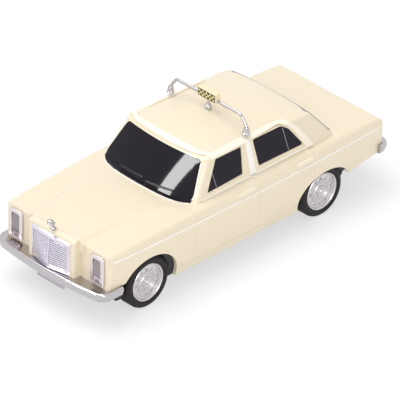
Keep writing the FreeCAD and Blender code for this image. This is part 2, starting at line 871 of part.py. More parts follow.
def build_grille():
    height = grille_top_z - grille_low_z
    block = grille_plan(0, grille_low_z).extrude(V(0, 0, height))
    floor = grille_plan(grille_recess, grille_low_z).extrude(V(0, 0, height))
    blades = grille_plan(louvre_inset, grille_low_z).extrude(V(0, 0, height))
    low = grille_low_z + grille_frame
    high = grille_top_z - grille_frame - grille_top_slope
    side = grille_half_width - grille_frame
    window = box(nose_x, grille_apex_x + cut_over, grille_rib / 2, side, low, high)
    recess = Part.makeCompound(both_sides(window)).cut(floor)
    pitch = (high - low) / (louvre_count + 1)
    slats = []
    for index in range(louvre_count):
        middle = low + pitch * (index + 1)
        slats.append(box(
            nose_x, grille_apex_x, -side, side, middle - louvre_height / 2, middle + louvre_height / 2))
    recess = recess.cut(blades.common(Part.makeCompound(slats)))
    back = nose_x + grille_seat_gap
    roof_line = [
        (back, grille_top_z), (grille_apex_x, grille_top_z - grille_top_slope),
        (grille_apex_x, grille_top_z + cut_over), (back, grille_top_z + cut_over),
    ]
    slope = flat_face(roof_line, side_view(-grille_half_width)).extrude(V(0, 2 * grille_half_width, 0))
    hole = upright_rod(finial_base_radius + finial_gap, finial_x, 0, grille_top_z - finial_sink, roof_z)
    peg_z = (grille_low_z + grille_top_z) / 2
    half = grille_peg / 2
    peg = box(nose_x - grille_peg_depth, back + grille_seat_gap, -half, half, peg_z - half, peg_z + half)
    return block.cut(recess).cut(slope).cut(hole).fuse(peg)


def build_finial():
    """Small pointed ornament on a stem."""
    low = grille_top_z - finial_sink
    bulge_z = low + finial_height - finial_ball_radius * 2
    stations = [
        (low, finial_base_radius), (low + finial_base_height, finial_base_radius),
        (low + finial_base_height + finial_stem_radius, finial_stem_radius),
        (bulge_z - finial_ball_radius, finial_stem_radius), (bulge_z, finial_ball_radius),
        (low + finial_height, finial_tip_radius),
    ]
    return facet_loft([
        ring(V(finial_x, 0, z), radius, V(1, 0, 0), V(0, 1, 0), ring_sides) for z, radius in stations])


def build_bezel():
    """Left headlamp's frame: a rim on the nose and a closed tube through its wall."""
    back = nose_x - bezel_depth
    seat = nose_x + bezel_gap
    front = nose_x + bezel_proud
    tube = lamp_box(bezel_tube_inset, back, seat)
    rim = lamp_face(0, seat).extrude(V(front - seat, 0, 0))
    floor = nose_x - lens_depth
    opening = lamp_face(bezel_rim, floor).extrude(V(front + cut_over - floor, 0, 0))
    return tube.fuse(rim).cut(opening)


def build_lens():
    """Left headlamp's lens, bowed from top to bottom."""
    floor = nose_x - lens_depth
    front = nose_x + lens_proud + lens_bulge
    half = lamp_height / 2 - bezel_rim
    bow_radius = (half ** 2 + lens_bulge ** 2) / (2 * lens_bulge)
    middle_z = lamp_low_z + lamp_height / 2
    body = lamp_face(bezel_rim + lens_gap, floor).extrude(V(front - floor, 0, 0))
    bow = rod_along_y(bow_radius, 0, body_half_width, front - bow_radius, middle_z)
    return body.common(bow)


def build_tail_lamp():
    """Left tail lamp, following the body's rounded corner."""
    proud = lower_body(-tail_lamp_proud, sill_z, False)
    floor = lower_body(tail_lamp_depth, sill_z - cut_over, False)
    return proud.cut(floor).common(tail_lamp_prism(tail_lamp_gap))


# Bumpers
def bumper_outline(inset, end_x, z):
    """Plan points of a bumper's outside, closed behind; it always points forward."""
    half = bumper_half_width + face_bar_proud - inset
    tip = bumper_reach_x - inset
    cheek = tip - bumper_bow
    corner = bumper_corner - inset
    left = [V(end_x, half, z)]
    left += round_points(V(cheek - corner, half, z), V(cheek, half, z), V(cheek, half - corner, z))
    right = [V(point.x, -point.y, z) for point in reversed(left)]
    return left + bow_points(left[-1], V(tip, 0, z), right[0])[:-1] + right


def bumper_slab(inset, end_x, low, high):
    return facet_loft([bumper_outline(inset, end_x, z) for z in (low, high)])


def bumper_band(low, end_x):
    """Solid wrap-round band with chamfered edges, a groove and a raised face bar."""
    top = low + bumper_height
    inner = face_bar_proud
    groove_z = low + bumper_height * bumper_groove_share
    groove_top = groove_z + bumper_groove_height
    levels = [
        (low, bumper_chamfer), (low + bumper_chamfer, 0), (top - bumper_chamfer, 0), (top, bumper_chamfer)]
    band = facet_loft([bumper_outline(inner + inset, end_x, z) for z, inset in levels])
    ring = bumper_slab(0, end_x, groove_z, groove_top)
    band = band.cut(ring.cut(bumper_slab(inner + bumper_groove, end_x, groove_z, groove_top)))
    bar_low = low + face_bar_low
    bar_top = bar_low + face_bar_height
    outline = [
        (-face_bar_half, bar_low), (face_bar_half, bar_low), (face_bar_half, bar_top),
        (-face_bar_half, bar_top)]
    start_x = bumper_reach_x - bumper_bow - bumper_corner
    face = rounded_face(outline, face_bar_round, front_view(start_x))
    bar = face.extrude(V(bumper_reach_x - start_x, 0, 0))
    return band.fuse(bar.common(bumper_slab(0, end_x, low, top)))


def tabs(low, way, gap):
    """The two tabs that a bumper pushes through the base plate's end wall, grown by gap."""
    skin = nose_x if way > 0 else -tail_x
    end = skin - wall - base_gap - tub_wall - tab_reach
    start = skin + wall
    bottom = low + tab_low - gap
    top = bottom + tab_height + gap * 2
    pieces = []
    for side in SIDES.values():
        middle = side * tab_y
        y0 = middle - tab_width / 2 - gap
        y1 = middle + tab_width / 2 + gap
        pieces.append(box(min(way * start, way * end), max(way * start, way * end), y0, y1, bottom, top))
    return pieces


def build_bumper(low, end_x, way):
    """A bumper; way is 1 for the front one and -1 for the rear one."""
    band = bumper_band(low, end_x)
    if way < 0:
        band = band.mirror(V(0, 0, 0), V(1, 0, 0))
    band = band.cut(lower_body(-bumper_gap, sill_z, False))
    return band.fuse(tabs(low, way, 0))


def plate_tongue(gap):
    """Tongue of the number plate, or its slot when grown by gap."""
    half = plate_tongue_half + gap
    top = front_bumper_low_z + plate_tongue_height + gap
    return box(
        plate_x - plate_thickness - gap, plate_x + gap, -half, half, front_bumper_low_z - plate_gap, top)


def build_number_plate():
    top = front_bumper_low_z - plate_gap
    half = plate_half_width
    face = box(plate_x - plate_thickness, plate_x, -half, half, top - plate_height, top)
    return face.fuse(plate_tongue(0))


# Roof sign
def bar_path():
    """Middle line of the bent tube, from its left foot to its right one."""
    start = V(bar_x, bar_foot_y, roof_surface(bar_foot_y) + foot_height)
    bend = V(bar_x, bar_half, bar_z)
    leg_way = (start - bend).normalize()
    left = [start] + round_points(bend + leg_way * bar_bend, bend, bend - V(0, bar_bend, 0))
    return left + [V(point.x, -point.y, point.z) for point in reversed(left)]


def build_roof_bar():
    """Bent tube with an upright foot at each end and one in the middle, seated on the roof."""
    path = bar_path()
    rings = []
    for index, point in enumerate(path):
        before = path[max(index - 1, 0)]
        after = path[min(index + 1, len(path) - 1)]
        along = (after - before).normalize()
        rings.append(ring(point, bar_radius, V(1, 0, 0), along.cross(V(1, 0, 0)), ring_sides))
    deep = roof_surface(bar_foot_y) - wall
    foot = upright_rod(foot_radius, bar_x, bar_foot_y, deep, path[0].z)
    feet = both_sides(foot)
    feet.append(upright_rod(centre_foot_radius, bar_x, 0, deep, roof_z + centre_foot_rise))
    feet.append(upright_rod(centre_stem_radius, bar_x, 0, deep, bar_z))
    return facet_loft(rings).fuse(feet).cut(cabin(-foot_seat_gap))


def roof_surface(y):
    """Height of the roof above the sign bar's place."""
    return roof_z - y ** 2 / (2 * roof_ball_radius)


def sign_limits():
    """Low and high corners of the sign box."""
    low = V(bar_x - sign_depth / 2, -sign_width / 2, bar_z - sign_drop)
    return low, low + V(sign_depth, sign_width, sign_height)


def build_sign_box():
    low, high = sign_limits()
    block = box(low.x, high.x, low.y, high.y, low.z, high.z)
    hole = rod_along_y(bar_radius + sign_bar_gap, low.y, high.y, bar_x, bar_z)
    half = bar_radius + sign_bar_gap
    mouth = box(bar_x - half, bar_x + half, low.y, high.y, low.z, bar_z)
    stem = upright_rod(centre_stem_radius + sign_bar_gap, bar_x, 0, low.z, bar_z)
    recess = sign_panel_block(0)
    return block.cut(hole).cut(mouth).cut(stem).cut(recess)


def sign_panel_block(gap):
    """The panel in the sign's front face, made smaller by gap."""
    low, high = sign_limits()
    margin = panel_margin + gap
    back = high.x + panel_proud - panel_thickness + gap
    return box(back, high.x + panel_proud, low.y + margin, high.y - margin, low.z + margin, high.z - margin)


# Base plate and keepers
def wheel_space(radius, axle_x, inner_y):
    """Round space of one left wheel with flat facets, out past the body."""
    outer_y = body_half_width + cut_over
    return wheel_loft([(radius, inner_y), (radius, outer_y)], axle_x, ring_sides)


def keeper_block(gap, axle_x):
    """Block of a keeper from below up to the axle's middle, grown by gap."""
    half = keeper_half_length + gap
    half_y = keeper_half_y + gap
    return box(axle_x - half, axle_x + half, -half_y, half_y, base_z, tyre_radius + gap / 2)


def axle_bore(axle_x):
    return rod_along_y(axle_radius + bearing_gap, -well_inner_y, well_inner_y, axle_x, tyre_radius)


def build_keeper(axle_x):
    """Flush clip under an axle; its half bore is the lower half of the bearing."""
    return keeper_block(0, axle_x).cut(axle_bore(axle_x))


def build_base_plate():
    """Tub that closes the casting from below, with wheel wells and axle bearings."""
    inset = wall + base_gap
    reach = body_half_width + cut_over
    span = bumper_reach_x
    under = box(-span, span, -reach, reach, base_z, tub_top_z)
    inner = lower_hollow(inset + tub_wall, base_z + base_thickness).cut(tail_clearance(base_thickness))
    room = lower_hollow(inset, base_z).cut(tail_clearance(0))
    plate = room.common(under).cut(inner)
    additions = []
    spaces = []
    cuts = []
    for axle_x in (front_axle_x, rear_axle_x):
        outer_radius = tyre_radius + well_gap
        well = wheel_space(outer_radius + well_wall, axle_x, well_inner_y - well_wall)
        additions += both_sides(well)
        spaces += both_sides(wheel_space(outer_radius, axle_x, well_inner_y))
        half = keeper_half_length + keeper_gap + saddle_wall
        top = tyre_radius + axle_radius + saddle_top
        additions.append(box(axle_x - half, axle_x + half, -well_inner_y, well_inner_y, base_z, top))
        cuts += [keeper_block(keeper_gap, axle_x), axle_bore(axle_x)]
    for x in (front_post_x, rear_post_x):
        cuts.append(upright_rod(post_radius + post_gap, x, 0, base_z, shoulder_z))
    top_limit = tyre_radius * 2 + well_gap + well_wall + cut_over
    allowed = room.common(box(-span, span, -reach, reach, base_z, top_limit))
    plate = plate.fuse([piece.common(allowed) for piece in additions])
    plate = plate.cut(Part.makeCompound(spaces)).cut(relief())
    cuts += tabs(front_bumper_low_z, 1, tab_gap) + tabs(rear_bumper_low_z, -1, tab_gap)
    for cut in cuts:
        plate = plate.cut(cut)
    return plate


def relief():
    """Shallow field in the underside, around a flush sump and exhaust pipe."""
    half = relief_half_y
    field = box(relief_rear_x, relief_front_x, -half, half, base_z, base_z + relief_depth)
    sump = box(
        sump_x - sump_length / 2, sump_x + sump_length / 2, -sump_width / 2, sump_width / 2,
        base_z, base_z + relief_depth)
    pipe = Part.makeCylinder(
        pipe_radius, relief_front_x - relief_rear_x, V(relief_rear_x, pipe_y, base_z + pipe_radius),
        V(1, 0, 0))
    return field.cut(sump).cut(pipe)


# Wheels
def wheel_loft(stations, axle_x, sides):
    """Body of flat facets round a wheel's line, from (radius, y) stations."""
    return facet_loft([
        ring(V(axle_x, y, tyre_radius), radius, V(1, 0, 0), V(0, 0, 1), sides) for radius, y in stations])


def build_tyre(axle_x):
    """Left tyre: a round tread with a sloping outer shoulder, open for the rim."""
    outer_y = tyre_outer_y
    inner_y = tyre_outer_y - tyre_width
    profile = [
        (0, inner_y), (tyre_radius, inner_y), (tyre_radius, outer_y - tyre_shoulder),
        (tyre_radius - tyre_shoulder, outer_y), (0, outer_y),
    ]
    bead = rim_radius + rim_seat_gap
    hole = wheel_loft([(bead, inner_y - tyre_width), (bead, outer_y + tyre_width)], axle_x, wheel_sides)
    return turned_about_y(profile, axle_x, tyre_radius).cut(hole)


def build_rim(axle_x):
    """Left wheel disc with a dished face and a raised cap, pushed on the axle's end."""
    face_y = tyre_outer_y - rim_face_set_back
    dish_y = face_y - rim_dish_depth
    back_y = well_inner_y + wheel_end_play
    stations = [
        (rim_radius, back_y), (rim_radius, face_y), (rim_radius - rim_lip, face_y), (rim_ring_radius, dish_y),
        (cap_radius, dish_y), (cap_top_radius, dish_y + cap_rise),
    ]
    bore = rod_along_y(axle_radius, back_y, back_y + axle_grip, axle_x, tyre_radius)
    return wheel_loft(stations, axle_x, wheel_sides).cut(bore)


def build_axle(axle_x):
    half = well_inner_y + wheel_end_play + axle_grip
    return rod_along_y(axle_radius, -half, half, axle_x, tyre_radius)


def save_all():
    save(build_shell(), "body_shell")
    save(build_glazing(), "glazing")
    save(build_grille(), "radiator_grille")
    save(build_finial(), "hood_finial")
    bezel = build_bezel()
    lens = build_lens()
    tail_lamp = build_tail_lamp()
    for name, side in SIDES.items():
        save(bezel if side > 0 else mirror_y(bezel), "headlamp_bezel_" + name)
        save(lens if side > 0 else mirror_y(lens), "headlamp_lens_" + name)
        save(tail_lamp if side > 0 else mirror_y(tail_lamp), "tail_lamp_" + name)
    front_bumper = build_bumper(front_bumper_low_z, front_bumper_end_x, 1)
    save(front_bumper.cut(plate_tongue(plate_gap)), "front_bumper")
    save(build_bumper(rear_bumper_low_z, rear_bumper_end_x, -1), "rear_bumper")
    save(build_number_plate(), "front_number_plate")
    save(build_roof_bar(), "roof_bar")
    save(build_sign_box(), "sign_box")
    save(sign_panel_block(panel_gap), "sign_panel")
    save(build_base_plate(), "base_plate")
    for end, axle_x in (("front", front_axle_x), ("rear", rear_axle_x)):
        save(build_keeper(axle_x), end + "_axle_keeper")
        save(build_axle(axle_x), end + "_axle")
        tyre = build_tyre(axle_x)
        rim = build_rim(axle_x)
        for name, side in SIDES.items():
            save(tyre if side > 0 else mirror_y(tyre), "tyre_" + end + "_" + name)
            save(rim if side > 0 else mirror_y(rim), "rim_" + end + "_" + name)


save_all()
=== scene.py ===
"""Toy taxi: the finished look of a small die-cast saloon car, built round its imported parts."""
import logging
import math
from dataclasses import dataclass
from enum import Enum
from typing import Callable, Dict, List, Sequence, Tuple

import bpy
from mathutils import Matrix, Vector


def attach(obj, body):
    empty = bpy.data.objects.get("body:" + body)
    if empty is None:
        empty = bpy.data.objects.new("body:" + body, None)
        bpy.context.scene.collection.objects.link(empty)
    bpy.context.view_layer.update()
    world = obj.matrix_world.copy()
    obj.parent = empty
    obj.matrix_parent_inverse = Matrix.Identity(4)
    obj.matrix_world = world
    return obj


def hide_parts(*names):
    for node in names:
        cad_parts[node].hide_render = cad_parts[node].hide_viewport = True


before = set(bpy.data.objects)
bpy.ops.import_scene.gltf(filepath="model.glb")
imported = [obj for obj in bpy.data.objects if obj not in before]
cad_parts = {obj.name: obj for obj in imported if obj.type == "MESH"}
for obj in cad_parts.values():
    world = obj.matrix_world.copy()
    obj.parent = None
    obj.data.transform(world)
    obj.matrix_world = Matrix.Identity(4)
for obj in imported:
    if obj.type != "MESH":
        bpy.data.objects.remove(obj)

MM = 0.001
WELD = 0.001 * MM
SPIN_WELD = 0.0005 * MM
LOOKS_THAT_WAY = 0.99
EDGE_ANGLE = 32.0
LOG = logging.getLogger("toy_taxi")
Ring = List[Vector]
Pair = Tuple[float, float]
Triple = Tuple[float, float, float]
Piece = bpy.types.Object
Tree = bpy.types.NodeTree
Socket = bpy.types.NodeSocket


class Side(Enum):
    """A side of the car, with its direction along Y."""

    LEFT = 1
    RIGHT = -1

    @property
    def word(self) -> str:
        """The side's name as it ends a piece's name."""
        return self.name.lower()


class Join(Enum):
    """How one solid is combined with another."""

    ADD = "UNION"
    CUT = "DIFFERENCE"
    KEEP_COMMON = "INTERSECT"


class Plane(Enum):
    """A flat plane of drawing, named by the two axes that an outline in it has."""

    PLAN = "xy"
    SIDE = "xz"
    END = "yz"

    @property
    def normal(self) -> Vector:
        """The axis that stands on the plane."""
        return Vector([0.0 if axis in self.value else 1.0 for axis in "xyz"])

    def lay(self, outline: Sequence[Pair], at: float) -> Ring:
        """Put an outline's points in space.

        Args:
            outline: points as two coordinates.
            at: the third coordinate, which they share.

        Returns:
            The points.
        """
        points = []
        for pair in outline:
            known = dict(zip(self.value, pair))
            points.append(Vector([known.get(axis, at) for axis in "xyz"]))
        return points


class Grain(Enum):
    """The fine surface structure of a finish."""

    PAINT = "paint"
    POLISHED = "polished"
    MOULDED = "moulded"


# Bench: small tools that work as by hand


def select_only(*pieces: Piece) -> None:
    """Select just these pieces and make the first one active.

    Args:
        pieces: the pieces to select.
    """
    bpy.ops.object.select_all(action="DESELECT")
    for piece in pieces:
        piece.select_set(True)
    bpy.context.view_layer.objects.active = pieces[0]


def in_edit_mode(piece: Piece, work: Callable[[], None]) -> None:
    """Run operators on a whole mesh in edit mode.

    Args:
        piece: the piece to edit.
        work: the operators to run, with everything selected.
    """
    select_only(piece)
    bpy.ops.object.mode_set(mode="EDIT")
    bpy.ops.mesh.select_all(action="SELECT")
    work()
    bpy.ops.object.mode_set(mode="OBJECT")


def named(name: str) -> Piece:
    """Name the object that an operator has just added.

    Args:
        name: the new name.

    Returns:
        The object.
    """
    piece = bpy.context.view_layer.objects.active
    piece.name = name
    piece.data.name = name
    return piece


def place(piece: Piece, points: Sequence[Vector]) -> None:
    """Put the vertices of a piece at the given points, one for each in their order."""
    for vertex, point in zip(piece.data.vertices, points):
        vertex.co = point


def lofted(name: str, rings: Sequence[Ring]) -> Piece:
    """Closed skin through rings of points, made from a grid that is wrapped round.

    Args:
        name: name of the piece.
        rings: closed rings that all have the same number of points.

    Returns:
        The piece.
    """
    count = len(rings[0])
    bpy.ops.object.select_all(action="DESELECT")
    bpy.ops.mesh.primitive_grid_add(x_subdivisions=count, y_subdivisions=len(rings) - 1)
    piece = named(name)
    place(piece, [ring[index % count] for ring in rings for index in range(count + 1)])

    def close() -> None:
        """Weld the seam, close both ends and turn the faces outwards."""
        bpy.ops.mesh.remove_doubles(threshold=WELD)
        bpy.ops.mesh.select_all(action="DESELECT")
        bpy.ops.mesh.select_mode(type="EDGE")
        bpy.ops.mesh.select_non_manifold()
        bpy.ops.mesh.fill_holes(sides=0)
        bpy.ops.mesh.select_mode(type="FACE")
        bpy.ops.mesh.select_all(action="SELECT")
        bpy.ops.mesh.normals_make_consistent(inside=False)

    in_edit_mode(piece, close)
    return piece


def prism(name: str, outline: Sequence[Vector], push: Vector) -> Piece:
    """Prism on a flat outline.

    Args:
        name: name of the piece.
        outline: corner points in order.
        push: the way and length of the extrusion.

    Returns:
        The piece.
    """
    bpy.ops.object.select_all(action="DESELECT")
    bpy.ops.mesh.primitive_circle_add(vertices=len(outline), fill_type="NGON")
    piece = named(name)
    place(piece, outline)

    def push_out() -> None:
        """Extrude the face and turn the faces outwards."""
        bpy.ops.mesh.extrude_region_move(TRANSFORM_OT_translate={"value": push})
        bpy.ops.mesh.select_all(action="SELECT")
        bpy.ops.mesh.normals_make_consistent(inside=False)

    in_edit_mode(piece, push_out)
    return piece


def drawn(name: str, plane: Plane, outline: Sequence[Pair], at: float, depth: float) -> Piece:
    """Prism on an outline in the plane that lies at this place along its normal; depth may be below zero."""
    return prism(name, plane.lay(outline, at), plane.normal * depth)


def block(name: str, low: Sequence[float], high: Sequence[float], rounding: float = 0.0) -> Piece:
    """Block between two corners, with softened edges where rounding is given.

    Args:
        name: name of the piece.
        low: lowest corner.
        high: highest corner.
        rounding: width of the bevel on every edge.

    Returns:
        The piece.
    """
    bpy.ops.object.select_all(action="DESELECT")
    bpy.ops.mesh.primitive_cube_add(
        size=1, location=(Vector(low) + Vector(high)) / 2, scale=Vector(high) - Vector(low))
    piece = named(name)
    bpy.ops.object.transform_apply(location=True, rotation=True, scale=True)
    if rounding > 0:
        soften(piece, rounding)
    return piece


def soften(piece: Piece, width: float, segments: int = 3, angle: float = 40.0) -> None:
    """Bevel the sharp edges of a piece.

    Args:
        piece: the piece.
        width: width of the bevel.
        segments: number of faces across it.
        angle: edges sharper than this many degrees are bevelled.
    """
    select_only(piece)
    modifier = piece.modifiers.new("soft_edges", "BEVEL")
    modifier.width = width
    modifier.segments = segments
    modifier.limit_method = "ANGLE"
    modifier.angle_limit = math.radians(angle)
    bpy.ops.object.modifier_apply(modifier=modifier.name)


def combine(piece: Piece, tool: Piece, join: Join, keep_tool: bool = False) -> None:
    """Add, cut or intersect a piece with a tool.

    Args:
        piece: the piece that stays.
        tool: the solid that works on it.
        join: how they are combined.
        keep_tool: whether the tool stays in the scene.
    """
    select_only(piece)
    modifier = piece.modifiers.new(join.name, "BOOLEAN")
    modifier.operation = join.value
    modifier.solver = "EXACT"
    modifier.object = tool
    bpy.ops.object.modifier_apply(modifier=modifier.name)
    if not keep_tool:
        bpy.data.objects.remove(tool)


def keep_layer(piece: Piece, surface: Piece, core: Piece) -> None:
    """Keep what lies inside one solid and outside another, and keep both solids."""
    combine(piece, surface, Join.KEEP_COMMON, True)
    combine(piece, core, Join.CUT, True)


def discard(*helpers: Piece) -> None:
    """Remove helpers from the scene."""
    for helper in helpers:
        bpy.data.objects.remove(helper)


def joined(name: str, pieces: Sequence[Piece]) -> Piece:
    """Join several pieces into one object.

    Args:
        name: name of the result.
        pieces: the pieces.

    Returns:
        The joined object.
    """
    select_only(*pieces)
    if len(pieces) > 1:
        bpy.ops.object.join()
    return named(name)


def copied(piece: Piece, name: str) -> Piece:
    """Copy a piece with its own mesh.

    Args:
        piece: the piece to copy.
        name: name of the copy.

    Returns:
        The copy.
    """
    twin = piece.copy()
    twin.data = piece.data.copy()
    bpy.context.scene.collection.objects.link(twin)
    select_only(twin)
    return named(name)


def mirrored(piece: Piece, name: str) -> Piece:
    """Copy a left piece to the right side.

    Args:
        piece: the left piece.
        name: name of the copy.

    Returns:
        The copy, with its faces outwards.
    """
    twin = copied(piece, name)
    for vertex in twin.data.vertices:
        vertex.co.y = -vertex.co.y
    in_edit_mode(twin, lambda: bpy.ops.mesh.flip_normals())
    return twin


def moved(piece: Piece, shift: Vector) -> Piece:
    """Shift the mesh of a piece and leave its object at the origin."""
    piece.data.transform(Matrix.Translation(shift))
    return piece


def turned(name: str, profile: Sequence[Pair], centre: Vector, upright: bool, steps: int = 64) -> Piece:
    """Turned piece: a closed profile that is spun round an axis.

    Args:
        name: name of the piece.
        profile: (radius, along) points in order; its ends may lie on the axis.
        centre: a point of the axis, where along is zero.
        upright: whether the axis is along Z; else it is along Y.
        steps: number of stretches round the axis.

    Returns:
        The piece.
    """
    bpy.ops.object.select_all(action="DESELECT")
    bpy.ops.mesh.primitive_circle_add(vertices=len(profile), fill_type="NOTHING")
    piece = named(name)
    axis = Vector((0, 0, 1)) if upright else Vector((0, 1, 0))
    place(piece, [centre + Vector((radius, 0, 0)) + axis * along for radius, along in profile])

    def spin() -> None:
        """Spin the profile, weld it and turn the faces outwards."""
        bpy.ops.mesh.spin(steps=steps, angle=2 * math.pi, center=centre, axis=axis, use_auto_merge=True)
        bpy.ops.mesh.select_all(action="SELECT")
        bpy.ops.mesh.remove_doubles(threshold=SPIN_WELD)
        bpy.ops.mesh.delete_loose()
        bpy.ops.mesh.select_all(action="SELECT")
        bpy.ops.mesh.normals_make_consistent(inside=False)

    in_edit_mode(piece, spin)
    return piece


def pick_faces(piece: Piece, way: Vector) -> None:
    """Select the faces that look one way, and nothing else.

    Args:
        piece: the piece, in object mode.
        way: unit vector of that way.
    """
    for vertex in piece.data.vertices:
        vertex.select = False
    for edge in piece.data.edges:
        edge.select = False
    for polygon in piece.data.polygons:
        polygon.select = polygon.normal.dot(way) > LOOKS_THAT_WAY


def sunk(piece: Piece, way: Vector, rim: float, depth: float) -> None:
    """Sink the face that looks one way and leave a rim round it.

    Args:
        piece: the piece.
        way: the way that the face looks.
        rim: width of the rim.
        depth: how deep the face goes in.
    """
    select_only(piece)
    pick_faces(piece, way)
    bpy.ops.object.mode_set(mode="EDIT")
    bpy.ops.mesh.select_mode(type="FACE")
    bpy.ops.mesh.inset(thickness=rim)
    bpy.ops.mesh.extrude_region_move(TRANSFORM_OT_translate={"value": way * -depth})
    bpy.ops.object.mode_set(mode="OBJECT")


def shade(piece: Piece, angle: float) -> None:
    """Shade a piece smooth, apart from edges sharper than angle degrees."""
    select_only(piece)
    bpy.ops.object.shade_smooth_by_angle(angle=math.radians(angle))


def across_car(points: Sequence[Vector]) -> Ring:
    """The same points on the other side of the car, in reverse order."""
    return [Vector((point.x, -point.y, point.z)) for point in reversed(points)]


def in_mm(rows: Sequence[Sequence[float]]) -> Tuple[Tuple[float, ...], ...]:
    """Rows written in millimetres, in the scene's unit."""
    return tuple(tuple(value * MM for value in row) for row in rows)


def oblong(low: Pair, high: Pair) -> List[Pair]:
    """Corners of an oblong between its lowest and its highest corner."""
    return [low, (high[0], low[1]), high, (low[0], high[1])]


def strip_corners(start: Pair, end: Pair, width: float) -> List[Pair]:
    """Corners of a straight strip in a plane.

    Args:
        start: middle of one end.
        end: middle of the other end.
        width: width of the strip.

    Returns:
        Its four corners.
    """
    first = Vector(start)
    last = Vector(end)
    along = (last - first).normalized()
    across = Vector((-along.y, along.x)) * (width / 2)
    return [tuple(corner) for corner in (first - across, last - across, last + across, first + across)]


def round_points(start: Vector, corner: Vector, end: Vector, steps: int = 8) -> Ring:
    """Points of a rounding between two straight lines.

    Args:
        start: point where the rounding leaves the first line.
        corner: where the lines meet.
        end: point where it joins the second line.
        steps: number of stretches.

    Returns:
        The points, with both ends.
    """
    points = []
    for step in range(steps + 1):
        t = step / steps
        points.append(start * (1 - t) ** 2 + corner * (2 * t * (1 - t)) + end * t ** 2)
    return points


def bow_points(start: Vector, middle: Vector, end: Vector, steps: int = 16) -> Ring:
    """Points of a shallow bow between two points, without the points themselves.

    Args:
        start: first point.
        middle: highest point of the bow.
        end: last point.
        steps: number of stretches.

    Returns:
        The points between the ends.
    """
    points = []
    for step in range(1, steps):
        t = step / steps
        chord = start.lerp(end, t)
        points.append(chord + (middle - (start + end) / 2) * (4 * t * (1 - t)))
    return points


def rounded_outline(
    corners: Sequence[Pair], radius: float, steps: int = 6, radii: Sequence[float] = (),
) -> List[Pair]:
    """Outline with rounded corners.

    Args:
        corners: corner points in a plane, in order.
        radius: radius of each rounding.
        steps: number of stretches in each.
        radii: one radius per corner instead, where given.

    Returns:
        The outline's points in the same plane.
    """
    points: List[Pair] = []
    count = len(corners)
    for index in range(count):
        before = Vector(corners[index - 1])
        here = Vector(corners[index])
        after = Vector(corners[(index + 1) % count])
        to_before = (before - here).normalized()
        to_after = (after - here).normalized()
        reach = (radii[index] if radii else radius) / math.tan(to_before.angle(to_after) / 2)
        rounding = round_points(here + to_before * reach, here, here + to_after * reach, steps)
        points += [tuple(point) for point in rounding]
    return points


def shrunk(corners: Sequence[Pair], gap: float) -> List[Pair]:
    """Convex outline moved in by a gap on every side.

    Args:
        corners: corner points in a plane, in order.
        gap: how far each side moves in.

    Returns:
        The new corners.
    """
    moved_corners = []
    count = len(corners)
    for index in range(count):
        here = Vector(corners[index])
        to_before = (Vector(corners[index - 1]) - here).normalized()
        to_after = (Vector(corners[(index + 1) % count]) - here).normalized()
        half_turn = to_before.angle(to_after) / 2
        moved_corners.append(tuple(here + (to_before + to_after).normalized() * (gap / math.sin(half_turn))))
    return moved_corners


# Finishes


GRAIN_DETAIL = {Grain.PAINT: 2.0, Grain.POLISHED: 5.0, Grain.MOULDED: 5.0}
ROUGHNESS_SPREAD = {Grain.PAINT: 0.05, Grain.POLISHED: 0.1, Grain.MOULDED: 0.25}


def set_inputs(node: bpy.types.Node, values: Dict[str, object]) -> None:
    """Set the inputs of a shader node by their names."""
    for name, value in values.items():
        node.inputs[name].default_value = value


